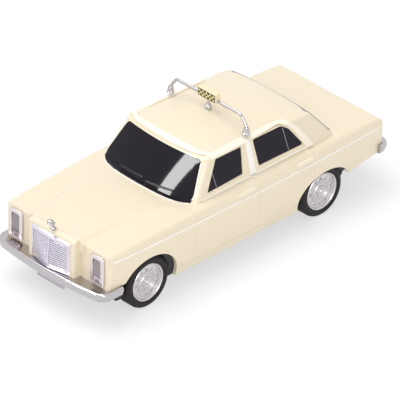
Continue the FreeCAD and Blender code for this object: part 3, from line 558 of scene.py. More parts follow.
@dataclass(frozen=True)
class Finish:
    """A painted, plated or moulded finish with its own fine structure."""

    name: str
    slot: str
    colour: Triple
    grain: Grain
    metallic: float = 0.0
    roughness: float = 0.4
    coat: float = 0.0
    specular: float = 0.5
    colour_drift: float = 0.02
    bump: float = 0.02
    bump_depth: float = 0.05 * MM
    grain_per_mm: float = 1.2
    drift_per_mm: float = 0.06
    drift_detail: float = 3.0
    coat_roughness: float = 0.04

    def build(self) -> bpy.types.Material:
        """Make the node material.

        Returns:
            The material.
        """
        material = bpy.data.materials.new(self.name)
        material.use_nodes = True
        tree = material.node_tree
        shader = tree.nodes["Principled BSDF"]
        set_inputs(shader, {
            "Metallic": self.metallic, "Coat Weight": self.coat, "Specular IOR Level": self.specular,
            "Coat Roughness": self.coat_roughness})
        where = tree.nodes.new("ShaderNodeTexCoord").outputs["Object"]
        broad = tree.nodes.new("ShaderNodeTexNoise")
        set_inputs(broad, {"Scale": self.drift_per_mm / MM, "Detail": self.drift_detail})
        tree.links.new(where, broad.inputs["Vector"])
        drift = self._spread(tree, broad.outputs["Fac"], 1.0 - self.colour_drift, 1.0)
        tint = tree.nodes.new("ShaderNodeMix")
        tint.data_type = "RGBA"
        tint.blend_type = "MULTIPLY"
        set_inputs(tint, {"Factor": 1.0, "A": (*self.colour, 1.0)})
        tree.links.new(drift, tint.inputs["B"])
        tree.links.new(tint.outputs["Result"], shader.inputs["Base Color"])
        self._fine_structure(tree, shader, where)
        return material

    def _spread(self, tree: Tree, value: Socket, low: float, high: float) -> Socket:
        """Map a value from zero to one onto a range.

        Args:
            tree: the node tree to add to.
            value: the value.
            low: what zero becomes.
            high: what one becomes.

        Returns:
            The socket of the mapped value.
        """
        spread = tree.nodes.new("ShaderNodeMapRange")
        set_inputs(spread, {"To Min": low, "To Max": high})
        tree.links.new(value, spread.inputs["Value"])
        return spread.outputs["Result"]

    def _fine_structure(self, tree: Tree, shader: bpy.types.Node, where: Socket) -> None:
        """Add the fine bump and the roughness that follows it.

        Args:
            tree: the material's node tree.
            shader: its shader.
            where: the output with the object coordinates.
        """
        fine = tree.nodes.new("ShaderNodeTexNoise")
        set_inputs(fine, {"Detail": GRAIN_DETAIL[self.grain], "Scale": self.grain_per_mm / MM})
        tree.links.new(where, fine.inputs["Vector"])
        value = fine.outputs["Fac"]
        spread = ROUGHNESS_SPREAD[self.grain]
        rough = self._spread(tree, value, self.roughness * (1 - spread), self.roughness * (1 + spread))
        tree.links.new(rough, shader.inputs["Roughness"])
        relief = tree.nodes.new("ShaderNodeBump")
        set_inputs(relief, {"Strength": self.bump, "Distance": self.bump_depth})
        tree.links.new(value, relief.inputs["Height"])
        tree.links.new(relief.outputs["Normal"], shader.inputs["Normal"])


CREAM = Finish(
    "cream_gloss_paint", "cream_paint", (0.80, 0.70, 0.53), Grain.PAINT, roughness=0.3, coat=0.35,
    colour_drift=0.004, bump=0.0005, grain_per_mm=0.25)
# Painted highlight: a cream lighter than the body's, for the raised door frames and the screen brow. It
# stands in for the highlights along their rounded edges; they are really the body's own cream paint.
CREAM_PAINTED_HIGHLIGHT = Finish(
    "frame_cream_painted_highlight", "cream_paint", (0.90, 0.83, 0.70), Grain.PAINT, roughness=0.28, coat=0.4,
    colour_drift=0.004, bump=0.0005, grain_per_mm=0.25)
BLACK_GLASS = Finish(
    "black_gloss_panes", "black_glass", (0.007, 0.005, 0.010), Grain.POLISHED, roughness=0.05, specular=0.22,
    bump=0.003)
BLACK_TRIM = Finish(
    "black_wiper", "black_glass", (0.016, 0.015, 0.017), Grain.MOULDED, roughness=0.35, specular=0.3)
DIVIDER_GREY = Finish(
    "pane_divider", "black_glass", (0.22, 0.22, 0.25), Grain.PAINT, metallic=0.2, roughness=0.3)
CHROME = Finish(
    "bright_plating", "chrome", (0.53, 0.51, 0.53), Grain.POLISHED, metallic=1.0, roughness=0.1,
    colour_drift=0.03, bump=0.03, grain_per_mm=0.8)
LAMP_FRAME = Finish(
    "lamp_frame_plating", "chrome", (0.74, 0.68, 0.68), Grain.POLISHED, metallic=0.85, roughness=0.16,
    colour_drift=0.02, bump=0.02)
GRILLE_BRIGHT = Finish(
    "grille_plating", "chrome", (0.74, 0.71, 0.79), Grain.POLISHED, metallic=0.8, roughness=0.2,
    colour_drift=0.03, bump=0.03, grain_per_mm=1.5)
# Silver trim paint, given a near-white colour with hardly any metal. The white stands in for the silver's
# reflection of the bright surroundings (painted reflection). It is used on the crease strips, belt, pillar
# strips, cowl trim and screen surround.
SILVER_TRIM_PAINTED_REFLECTION = Finish(
    "silver_trim_painted_reflection", "chrome", (0.90, 0.87, 0.81), Grain.PAINT, metallic=0.05, roughness=0.25, coat=0.4,
    colour_drift=0.01, bump=0.004)
# Door handles: a cream lighter than the body's. It is partly their own pale paint and partly painted
# highlight on their raised faces.
HANDLE_PAINT_AND_HIGHLIGHT = Finish(
    "handle_paint_and_highlight", "chrome", (0.88, 0.80, 0.62), Grain.PAINT, roughness=0.25, coat=0.5, colour_drift=0.01,
    bump=0.004)
WHEEL_SILVER = Finish(
    "wheel_plating", "chrome", (0.66, 0.63, 0.65), Grain.POLISHED, metallic=0.85, roughness=0.26,
    colour_drift=0.04, bump=0.05, grain_per_mm=1.5)
LENS = Finish(
    "lamp_lens", "lamp_lens", (0.34, 0.30, 0.31), Grain.POLISHED, metallic=0.8, roughness=0.1, coat=0.5,
    colour_drift=0.1, grain_per_mm=2.0)
RED_LENS = Finish("red_lamp_lens", "red_lamp", (0.35, 0.008, 0.008), Grain.POLISHED, roughness=0.12, coat=0.6)
# Number plate: its white face is given a dark purple-grey. This is painted shade for the face lying in shadow
# below the bumper.
PLATE_PAINTED_SHADE = Finish(
    "plate_painted_shade", "white_plate", (0.52, 0.46, 0.52), Grain.PAINT, metallic=0.2, roughness=0.3, coat=0.3)
SIGN_CREAM = Finish("sign_housing", "sign_box", (0.82, 0.72, 0.48), Grain.MOULDED, roughness=0.35, coat=0.2)
SIGN_BLACK = Finish("sign_front", "sign_panel", (0.02, 0.02, 0.008), Grain.PAINT, roughness=0.35, coat=0.2)
SIGN_YELLOW = Finish("sign_checks", "sign_panel", (0.76, 0.66, 0.30), Grain.PAINT, roughness=0.35, coat=0.2)
BASE_BLACK = Finish(
    "black_moulding", "black_plastic", (0.018, 0.018, 0.02), Grain.MOULDED, roughness=0.5, colour_drift=0.1,
    bump=0.1, grain_per_mm=2.0)
STEEL = Finish("axle_steel", "steel", (0.45, 0.45, 0.46), Grain.POLISHED, metallic=1.0, roughness=0.3)
RUBBER = Finish(
    "tyre_rubber", "tyre", (0.017, 0.014, 0.016), Grain.MOULDED, roughness=0.6, specular=0.3,
    colour_drift=0.15, bump=0.1, grain_per_mm=2.5)
ALL_FINISHES = (
    CREAM, CREAM_PAINTED_HIGHLIGHT, LAMP_FRAME, BLACK_GLASS, BLACK_TRIM, DIVIDER_GREY, CHROME, GRILLE_BRIGHT, SILVER_TRIM_PAINTED_REFLECTION,
    HANDLE_PAINT_AND_HIGHLIGHT, WHEEL_SILVER, LENS, RED_LENS, PLATE_PAINTED_SHADE, SIGN_CREAM, SIGN_BLACK, SIGN_YELLOW, BASE_BLACK, STEEL,
    RUBBER,
)


class FinishShelf:
    """All finishes, each made once."""

    def __init__(self) -> None:
        """Make every material."""
        self._made = {finish.name: finish.build() for finish in ALL_FINISHES}

    def dress(self, piece: Piece, finish: Finish) -> None:
        """Give a piece one finish all over."""
        piece.data.materials.clear()
        piece.data.materials.append(self._made[finish.name])

    def hand_over(
        self, piece: Piece, finish: Finish, *nodes: str, angle: float = EDGE_ANGLE, body: str = "body",
    ) -> None:
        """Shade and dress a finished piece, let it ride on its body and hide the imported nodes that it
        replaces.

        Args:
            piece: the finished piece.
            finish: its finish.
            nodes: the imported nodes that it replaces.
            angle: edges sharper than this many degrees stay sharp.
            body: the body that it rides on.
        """
        shade(piece, angle)
        self.dress(piece, finish)
        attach(piece, body)
        if nodes:
            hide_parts(*nodes)
        LOG.info("%s: %d faces, finish %s", piece.name, len(piece.data.polygons), finish.name)

    def hand_over_pair(
        self, piece: Piece, finish: Finish, stem: str, node_stem: str = "", angle: float = EDGE_ANGLE,
    ) -> None:
        """Mirror a finished left piece and hand both over, on the body.

        Args:
            piece: the finished left piece.
            finish: its finish.
            stem: both names without the side.
            node_stem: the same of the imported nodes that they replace, where there are any.
            angle: edges sharper than this many degrees stay sharp.
        """
        right = mirrored(piece, stem + "_right")
        piece.name = stem + "_left"
        for each, side in ((piece, Side.LEFT), (right, Side.RIGHT)):
            nodes = [node_stem + "_" + side.word] if node_stem else []
            self.hand_over(each, finish, *nodes, angle=angle)


@dataclass
class Assembly:
    """A sub-assembly, which hands its pieces over to the shelf of finishes."""

    shelf: FinishShelf


# The car's form, which the casting, the panes and the trim share


@dataclass(frozen=True)
class CarForm:
    """Outside form of the body, worked out from a few driving sizes."""

    reach: float = 60.0 * MM
    half_width: float = 23.1 * MM
    plan_bow: float = 1.35 * MM
    bow_power: float = 2.4
    shoulder_z: float = 25.5 * MM
    shoulder_drop: float = 1.7 * MM
    drop_power: float = 3.2
    shoulder_round_share: float = 0.38
    shoulder_lean: float = 1.1 * MM
    deck_crown: float = 0.55 * MM
    crease_z: float = 21.75 * MM
    crease_rise: float = 0.35 * MM
    crease_height: float = 0.5 * MM
    sill_z: float = 6.3 * MM
    sill_tuck: float = 1.5 * MM
    nose_x: float = 56.4 * MM
    nose_low_z: float = 12.7 * MM
    nose_corner: float = 1.7 * MM
    nose_lip: float = 1.2 * MM
    edge_trim: float = 0.15 * MM
    tail_x: float = -59.3 * MM
    tail_low_z: float = 12.8 * MM
    tail_corner: float = 3.6 * MM
    tail_lip: float = 3.2 * MM
    tail_top_step: float = 1.5 * MM
    tail_bottom_step: float = 0.8 * MM
    tail_waist_z: float = 14.7 * MM
    corner_turn: float = math.radians(68)
    skirt_front_x: float = 47.8 * MM
    skirt_rear_x: float = -41.8 * MM
    skirt_rear_z: float = 10.7 * MM
    belt_z: float = 25.4 * MM
    head_z: float = 36.9 * MM
    screen_base_x: float = 23.0 * MM
    screen_head_x: float = 13.6 * MM
    screen_base_bow: float = 2.8 * MM
    screen_head_bow: float = 1.2 * MM
    cabin_base_y: float = 19.7 * MM
    cabin_head_y: float = 16.9 * MM
    back_base_x: float = -40.7 * MM
    back_head_x: float = -29.4 * MM
    back_base_bow: float = 1.6 * MM
    back_head_bow: float = 0.3 * MM
    pillar_radius: float = 2.0 * MM
    roof_z: float = 39.5 * MM
    roof_peak_x: float = -5.0 * MM
    roof_ball: float = 100.0 * MM
    roof_edge: float = 1.1 * MM
    cabin_sink: float = 2.0 * MM
    over: float = 3.0 * MM
    stations: int = 48
    flank_steps: int = 10
    corner_steps: int = 8
    wall_steps: int = 10
    edge_steps: int = 6
    roof_steps: int = 16
    roof_tries: int = 6

    def half_width_at(self, x: float) -> float:
        """Half the body's width at x."""
        return self.half_width - self.plan_bow * abs(x / self.reach) ** self.bow_power

    def shoulder_at(self, x: float) -> float:
        """Height of the shoulder at x."""
        return self.shoulder_z - self.shoulder_drop * abs(x / self.reach) ** self.drop_power

    def crease_at(self, x: float) -> float:
        """Height of the side crease at x."""
        return self.crease_z + self.crease_rise * x / self.reach

    def flank_at(self, x: float, z: float, inset: float = 0.0) -> float:
        """Half width of the flank at x and z, below the crease."""
        crease = self.crease_at(x)
        below = max(crease - z, 0.0)
        return self.half_width_at(x) - inset - self.sill_tuck * (below / (crease - self.sill_z)) ** 2

    def section(self, x: float, inset: float, floor_z: float) -> Ring:
        """Outline across the car.

        Args:
            x: place along the car.
            inset: how far the outline lies inside the skin.
            floor_z: height of the open lower edge.

        Returns:
            A closed ring of points.
        """
        width = self.half_width_at(x) - inset
        knee = self.crease_at(x) - inset
        shoulder = self.shoulder_at(x) - inset
        turn = self.shoulder_round_share * (shoulder - knee - self.crease_height / 2)
        lean_y = width - self.shoulder_lean
        left = []
        for step in range(self.flank_steps + 1):
            z = floor_z + (knee - floor_z) * step / self.flank_steps
            left.append(Vector((x, self.flank_at(x, z, inset), z)))
        slope = Vector((0, lean_y - width, shoulder - turn - knee)).normalized()
        corner = Vector((x, lean_y, shoulder))
        left += round_points(corner - slope * turn, corner, corner - Vector((0, turn, 0)), 10)
        right = across_car(left)
        crown = Vector((x, 0, shoulder + self.deck_crown))
        return left + bow_points(left[-1], crown, right[0], 20) + right

    def soft_corner(self, outward: float, across: float, radius: float, reach: float) -> List[Pair]:
        """Rounded corner in a plane, from on the face to out past the body.

        Args:
            outward: how far out the face lies.
            across: where the face's side edge lies.
            radius: radius of the corner.
            reach: how far across the outline ends.

        Returns:
            Points of the corner as (outward, across).
        """
        centre_out = outward - radius
        centre_across = across - self.edge_trim - radius * math.sin(self.corner_turn)
        points = []
        for step in range(self.corner_steps + 1):
            angle = self.corner_turn * step / self.corner_steps
            points.append((centre_out + radius * math.cos(angle), centre_across + radius * math.sin(angle)))
        last = points[-1]
        return points + [(last[0] - (reach - last[1]) * math.tan(self.corner_turn), reach)]

    def plan_limit(self, inset: float) -> Piece:
        """Upright prism that rounds the corners, seen from above.

        Args:
            inset: how far it lies inside the skin.

        Returns:
            The prism.
        """
        reach = self.half_width + self.over
        nose_half = self.half_width_at(self.nose_x) - inset
        nose = self.soft_corner(self.nose_x - inset, nose_half, self.nose_corner, reach)
        tail_half = self.half_width_at(self.tail_x) - inset
        tail = self.soft_corner(-self.tail_x - inset, tail_half, self.tail_corner, reach)
        left = nose + [(-x, y) for x, y in reversed(tail)]
        outline = left + [(x, -y) for x, y in reversed(left)]
        low = -self.over
        return drawn("plan_limit", Plane.PLAN, outline, low, self.roof_z - low)

    def side_limit(self, inset: float, floor_z: float, stepped: bool) -> Piece:
        """Prism across the car that shapes the ends and the lower edge.

        Args:
            inset: how far it lies inside the skin.
            floor_z: height of the lower edge.
            stepped: whether it follows the skirts.

        Returns:
            The prism.
        """
        half = self.half_width + self.over
        reach = self.shoulder_z + self.deck_crown + self.over
        nose_top = self.shoulder_at(self.nose_x) + self.deck_crown - inset
        tail_top = self.shoulder_at(self.tail_x) + self.deck_crown - inset
        nose = self.soft_corner(self.nose_x - inset, nose_top, self.nose_lip, reach)
        tail = self.soft_corner(-self.tail_x - self.tail_top_step - inset, tail_top, self.tail_lip, reach)
        foot_x = self.tail_x + self.tail_bottom_step + inset
        lower = [(foot_x, floor_z), (self.nose_x - inset, floor_z)]
        if stepped:
            rear_x = self.skirt_rear_x
            front_x = self.skirt_front_x
            lower = [
                (foot_x, self.tail_low_z), (rear_x, self.skirt_rear_z), (rear_x, floor_z), (front_x, floor_z),
                (front_x, self.nose_low_z), (self.nose_x - inset, self.nose_low_z),
            ]
        outline = nose + [(-x, z) for x, z in reversed(tail)]
        outline += [(self.tail_x + inset, self.tail_waist_z)] + lower
        return drawn("side_limit", Plane.SIDE, outline, -half, 2 * half)

    def lower_body(self, name: str, inset: float, deep: bool = False, stepped: bool = False) -> Piece:
        """Closed form of the body below the windows.

        Args:
            name: name of the solid.
            inset: how far it lies inside the skin.
            deep: whether it goes on below the sills.
            stepped: whether the lower edge follows the skirts.

        Returns:
            The solid.
        """
        floor_z = self.sill_z - (self.over if deep else 0.0)
        rings = []
        for index in range(self.stations + 1):
            rings.append(self.section(self.reach * (2 * index / self.stations - 1), inset, floor_z))
        solid = lofted(name, rings)
        combine(solid, self.plan_limit(inset), Join.KEEP_COMMON)
        combine(solid, self.side_limit(inset, floor_z, stepped), Join.KEEP_COMMON)
        return solid

    def blend(self, low: float, high: float, z: float) -> float:
        """Value on the straight line through low at the belt and high at the window heads."""
        return low + (high - low) * (z - self.belt_z) / (self.head_z - self.belt_z)

    def lean_factor(self, run: float) -> float:
        """Sideways move that shifts a leaning wall by one, measured square to it."""
        return math.hypot(run, self.head_z - self.belt_z) / (self.head_z - self.belt_z)

    def cabin_ring(self, z: float, inset: float) -> Ring:
        """Plan outline of the cabin at a height.

        Args:
            z: the height.
            inset: how far the outline lies inside the skin.

        Returns:
            A closed ring of points.
        """
        front_lean = self.lean_factor(self.screen_base_x - self.screen_head_x)
        back_lean = self.lean_factor(self.back_head_x - self.back_base_x)
        side_lean = self.lean_factor(self.cabin_base_y - self.cabin_head_y)
        front = self.blend(self.screen_base_x, self.screen_head_x, z) - inset * front_lean
        back = self.blend(self.back_base_x, self.back_head_x, z) + inset * back_lean
        side = self.blend(self.cabin_base_y, self.cabin_head_y, z) - inset * side_lean
        shoulder = side - self.pillar_radius

        def pillar(tip: float, bow: float, way: int) -> Ring:
            """Points round a pillar, from the bowed end to the side."""
            start = Vector((tip - way * bow, shoulder, z))
            knee = Vector((start.x - way * 2 * bow / shoulder * self.pillar_radius, side, z))
            return round_points(start, knee, Vector((knee.x - way * self.pillar_radius, side, z)), 8)

        front_bow = self.blend(self.screen_base_bow, self.screen_head_bow, z)
        back_bow = self.blend(self.back_base_bow, self.back_head_bow, z)
        left = pillar(front, front_bow, 1) + pillar(back, back_bow, -1)[::-1]
        right = across_car(left)
        tail = bow_points(left[-1], Vector((back, 0, z)), right[0])
        nose = bow_points(right[-1], Vector((front, 0, z)), left[0])
        return left + tail + right + nose

    def roof_at(self, x: float, y: float, inset: float = 0.0) -> float:
        """Height of the roof's ball at a place."""
        far = (x - self.roof_peak_x) ** 2 + y ** 2
        return math.sqrt((self.roof_ball - inset) ** 2 - far) + self.roof_z - self.roof_ball

    def through_wall(self, name: str, outline: Sequence[Pair], side: Side) -> Piece:
        """Prism through one side wall of the cabin, on an outline as (x, z)."""
        inner = self.cabin_head_y - self.over
        reach = self.cabin_base_y + self.over - inner
        return drawn(name, Plane.SIDE, outline, side.value * inner, side.value * reach)

    def cabin(self, name: str, inset: float) -> Piece:
        """Closed form of the cabin: leaning walls, a rounded edge and a crowned roof.

        Args:
            name: name of the solid.
            inset: how far it lies inside the skin.

        Returns:
            The solid.
        """
        low = self.cabin_ring(self.belt_z - self.cabin_sink, inset)
        high = self.cabin_ring(self.roof_z, inset)
        centre = Vector((self.roof_peak_x, 0, self.roof_z))
        edge = []
        for foot, head in zip(low, high):
            share = 1.0
            for _ in range(self.roof_tries):
                point = foot.lerp(head, share)
                share = (self.roof_at(point.x, point.y, inset) - foot.z) / (head.z - foot.z)
            edge.append(foot.lerp(head, share))
        starts = [top + (foot - top).normalized() * self.roof_edge for foot, top in zip(low, edge)]
        rings = []
        for step in range(self.wall_steps):
            rings.append([foot.lerp(start, step / self.wall_steps) for foot, start in zip(low, starts)])
        ends = []
        for top in edge:
            end = top + (centre - top).normalized() * self.roof_edge
            end.z = self.roof_at(end.x, end.y, inset)
            ends.append(end)
        rounds = [round_points(a, b, c, self.edge_steps) for a, b, c in zip(starts, edge, ends)]
        rings += [[points[step] for points in rounds] for step in range(self.edge_steps + 1)]
        for step in range(1, self.roof_steps):
            ring = []
            for end in ends:
                point = end.lerp(centre, step / self.roof_steps)
                point.z = self.roof_at(point.x, point.y, inset)
                ring.append(point)
            rings.append(ring)
        return lofted(name, rings)


SCREEN = 4


@dataclass(frozen=True)
class Windows:
    """Outlines of the six openings: four at the sides, then the screen and the rear window."""

    form: CarForm
    top_z: float = 35.9 * MM
    front_corners: Tuple[Pair, ...] = in_mm(((14.2, 27.1), (8.9, 35.9), (-1.7, 35.7), (-0.7, 27.4)))
    front_radii: Tuple[float, ...] = (0.5 * MM, 0.6 * MM, 0.6 * MM, 0.6 * MM)
    rear_corners: Tuple[Pair, ...] = in_mm((
        (-7.4, 27.4), (-6.5, 35.9), (-18.6, 35.6), (-21.2, 33.8), (-26.0, 27.1)))
    rear_radii: Tuple[float, ...] = (0.5 * MM, 0.6 * MM, 3.2 * MM, 4.0 * MM, 0.6 * MM)
    screen_low_margin: float = 1.0 * MM
    screen_top_margin: float = 1.8 * MM
    screen_low_z: float = 26.08 * MM
    screen_top_z: float = 36.3 * MM
    end_corner: float = 1.6 * MM
    back_top_z: float = 34.9 * MM
    depth: float = 3.0 * MM

    def end_outline(self, top_z: float, low_z: float) -> List[Pair]:
        """Corners of the screen or the rear window as (y, z).

        Args:
            top_z: the opening's top.
            low_z: its foot.

        Returns:
            The corners.
        """
        form = self.form
        low_y = form.blend(form.cabin_base_y, form.cabin_head_y, low_z) - self.screen_low_margin
        top_y = form.blend(form.cabin_base_y, form.cabin_head_y, top_z) - self.screen_top_margin
        return [(low_y, low_z), (top_y, top_z), (-top_y, top_z), (-low_y, low_z)]

    def prisms(self, gap: float, screen_sink: float = 0.0) -> List[Piece]:
        """Prisms through all openings, each smaller by gap all round.

        Args:
            gap: how much smaller each prism is.
            screen_sink: how much lower than its opening the screen's prism starts.

        Returns:
            Four side prisms, the screen's, which comes as number SCREEN, and the rear window's.
        """
        form = self.form
        inner_y = form.blend(form.cabin_base_y, form.cabin_head_y, self.top_z) - self.depth
        reach_y = form.cabin_base_y + self.depth - inner_y
        prisms = []
        for corners, radii in ((self.front_corners, self.front_radii), (self.rear_corners, self.rear_radii)):
            outline = rounded_outline(shrunk(corners, gap), 0.0, radii=radii)
            for side in Side:
                prisms.append(drawn(
                    "window_" + side.word, Plane.SIDE, outline, side.value * inner_y, side.value * reach_y))
        ends = (
            (form.screen_base_x, form.screen_head_x - form.screen_head_bow, self.screen_top_z, 1),
            (form.back_base_x, form.back_head_x + form.back_head_bow, self.back_top_z, -1),
        )
        for base_x, head_x, top_z, way in ends:
            start = head_x - way * self.depth
            low_z = self.screen_low_z - (screen_sink if way > 0 else 0.0)
            outline = rounded_outline(shrunk(self.end_outline(top_z, low_z), gap), self.end_corner, 10)
            prisms.append(drawn("window_end", Plane.END, outline, start, base_x + way * self.depth - start))
        return prisms


@dataclass
class Casting(Assembly):
    """The painted body casting with its openings and shut lines."""

    form: CarForm
    windows: Windows
    wall: float = 1.2 * MM
    line_width: float = 0.09 * MM
    line_depth: float = 0.08 * MM
    edge_angle: float = 30.0
    arch_z: float = 8.3 * MM
    arches: Tuple[Triple, ...] = in_mm(((39.75, 11.0, 9.6), (-32.65, 11.1, 7.9)))
    arch_sides: int = 96
    lamp_hole: Tuple[float, float, float, float] = (14.6 * MM, 19.6 * MM, 13.4 * MM, 22.4 * MM)
    peg_half: float = 1.56 * MM
    peg_z: float = 18.1 * MM
    door_front_x: float = 22.0 * MM
    door_middle_x: float = -4.3 * MM
    door_rear_x: float = -27.4 * MM
    door_corner: float = 1.5 * MM
    hood_rise: float = 0.95 * MM
    hood_root: float = 0.04 * MM
    hood_rear_x: float = 25.0 * MM
    hood_overhang: float = 0.8 * MM
    hood_half: float = 9.7 * MM
    hood_flare: float = 5.0 * MM
    hood_slope: float = 1.9 * MM
    hood_stations: int = 24
    hood_steps: int = 48
    panel_x: float = 59.0 * MM
    panel_half: float = 9.7 * MM
    panel_lip: float = 1.4 * MM
    panel_edge: float = 0.9 * MM
    panel_sink: float = 0.15 * MM
    panel_taper: float = 0.4
    panel_steps: int = 8
    sill_line_z: float = 8.9 * MM
    sill_line_ends: Pair = (28.4 * MM, -21.2 * MM)
    sill_line_width: float = 0.5 * MM

    def build(self) -> None:
        """Make the casting, with its openings and engraved lines."""
        form = self.form
        shell = form.lower_body("body_casting", 0.0, stepped=True)
        combine(shell, form.cabin("cabin_form", 0.0), Join.ADD)
        combine(shell, self._hood_rise(), Join.ADD)
        combine(shell, self._nose_panel(), Join.ADD)
        combine(shell, self._hollow(), Join.CUT)
        for opening in self.windows.prisms(0.0) + self._arch_cutters() + self._nose_cutters():
            combine(shell, opening, Join.CUT)
        combine(shell, self._line_cutter(), Join.CUT)
        self.shelf.hand_over(shell, CREAM, "body_shell", angle=self.edge_angle)

    def _hood_rise(self) -> Piece:
        """The raised middle of the bonnet, which slopes softly down to the wings.

        Returns:
            The solid.
        """
        form = self.form
        front_x = form.nose_x + self.hood_overhang
        rings = []
        for index in range(self.hood_stations + 1):
            share = index / self.hood_stations
            x = self.hood_rear_x + (front_x - self.hood_rear_x) * share
            foot_half = self.hood_half + self.hood_flare * (1 - share) ** 2 + self.hood_slope
            rise = self.hood_rise * share * (2 - share)
            deck_half = form.half_width_at(x) - form.shoulder_lean
            upper = []
            for step in range(self.hood_steps + 1):
                y = foot_half * (1 - 2 * step / self.hood_steps)
                climb = min(1.0, (foot_half - abs(y)) / self.hood_slope)
                climb = climb * climb * (3 - 2 * climb)
                deck = form.shoulder_at(x) + form.deck_crown * (1 - (y / deck_half) ** 2)
                upper.append(Vector((x, y, deck - self.hood_root + (rise + self.hood_root) * climb)))
            floor_z = form.crease_z
            rings.append(upper + [Vector((x, -foot_half, floor_z)), Vector((x, foot_half, floor_z))])
        return lofted("hood_rise", rings)

    def _nose_panel(self) -> Piece:
        """The middle of the nose, proud of the lamps' panels, with a rounded top.

        Returns:
            The solid.
        """
        form = self.form
        top_z = form.shoulder_at(form.nose_x) + form.deck_crown + self.hood_rise - self.panel_sink
        start_z = top_z - self.panel_lip
        levels = [(form.nose_low_z, 0.0)]
        for step in range(self.panel_steps + 1):
            angle = math.pi / 2 * step / self.panel_steps
            back = self.panel_lip * (1 - math.cos(angle))
            levels.append((start_z + self.panel_lip * math.sin(angle), back))
        edge = self.panel_edge
        rings = []
        for z, back in levels:
            front = self.panel_x - back
            half = self.panel_half - back * self.panel_taper
            corner = Vector((front, half, z))
            left = round_points(Vector((front, half - edge, z)), corner, Vector((front - edge, half, z)))
            left.append(Vector((form.nose_x - form.over, half, z)))
            rings.append(left + across_car(left))
        return lofted("nose_panel", rings)

    def _hollow(self) -> Piece:
        """The room inside the casting.

        Returns:
            The solid.
        """
        form = self.form
        room = form.lower_body("hollow", self.wall, deep=True)
        combine(room, form.cabin("cabin_room", self.wall), Join.ADD)
        return room

    def _arch_cutters(self) -> List[Piece]:
        """Oval prisms for the wheel arches.

        Returns:
            Both cutters.
        """
        reach = self.form.half_width + self.form.over
        cutters = []
        for axle_x, half, height in self.arches:
            outline = []
            for index in range(self.arch_sides):
                angle = 2 * math.pi * (index + 0.5) / self.arch_sides
                outline.append((axle_x + half * math.cos(angle), self.arch_z + height * math.sin(angle)))
            cutters.append(drawn("arch", Plane.SIDE, outline, -reach, 2 * reach))
        return cutters

    def _nose_cutters(self) -> List[Piece]:
        """Holes in the nose for the lamps and the grille's peg.

        Returns:
            The cutters.
        """
        form = self.form
        start = form.nose_x - form.over
        end = form.nose_x + form.over
        half = self.peg_half
        low_y, high_y, low_z, high_z = self.lamp_hole
        holes = (
            (-half, half, self.peg_z - half, self.peg_z + half), (low_y, high_y, low_z, high_z),
            (-high_y, -low_y, low_z, high_z),
        )
        return [block("hole", (start, y1, z1), (end, y2, z2)) for y1, y2, z1, z2 in holes]

    def _line_cutter(self) -> Piece:
        """All shut lines as one thin solid in the outer skin.

        Returns:
            The cutter.
        """
        form = self.form
        inner = form.half_width - form.sill_tuck - form.plan_bow - form.shoulder_lean - form.over
        reach = form.half_width + form.over - inner
        top = form.shoulder_z
        sill = self.sill_line_z
        corner_top = sill + self.door_corner
        front_x = self.door_front_x
        arch_top = self.arch_z + self.arches[1][2]
        thin = self.line_width
        runs = [
            ((front_x, top), (front_x, corner_top), thin),
            ((front_x, corner_top), (front_x - self.door_corner, sill), thin),
            ((self.sill_line_ends[0], sill), (self.sill_line_ends[1], sill), self.sill_line_width),
            ((self.door_middle_x, top), (self.door_middle_x, sill), thin),
            ((self.door_rear_x, top), (self.door_rear_x, arch_top), thin),
        ]
        strips = []
        for side in Side:
            for start, end, width in runs:
                corners = strip_corners(start, end, width)
                strips.append(drawn("shut_line", Plane.SIDE, corners, side.value * inner, side.value * reach))
        cutter = strips[0]
        for strip in strips[1:]:
            combine(cutter, strip, Join.ADD)
        cutter.name = "line_cutter"
        combine(cutter, form.lower_body("line_core", self.line_depth, deep=True), Join.CUT)
        return cutter


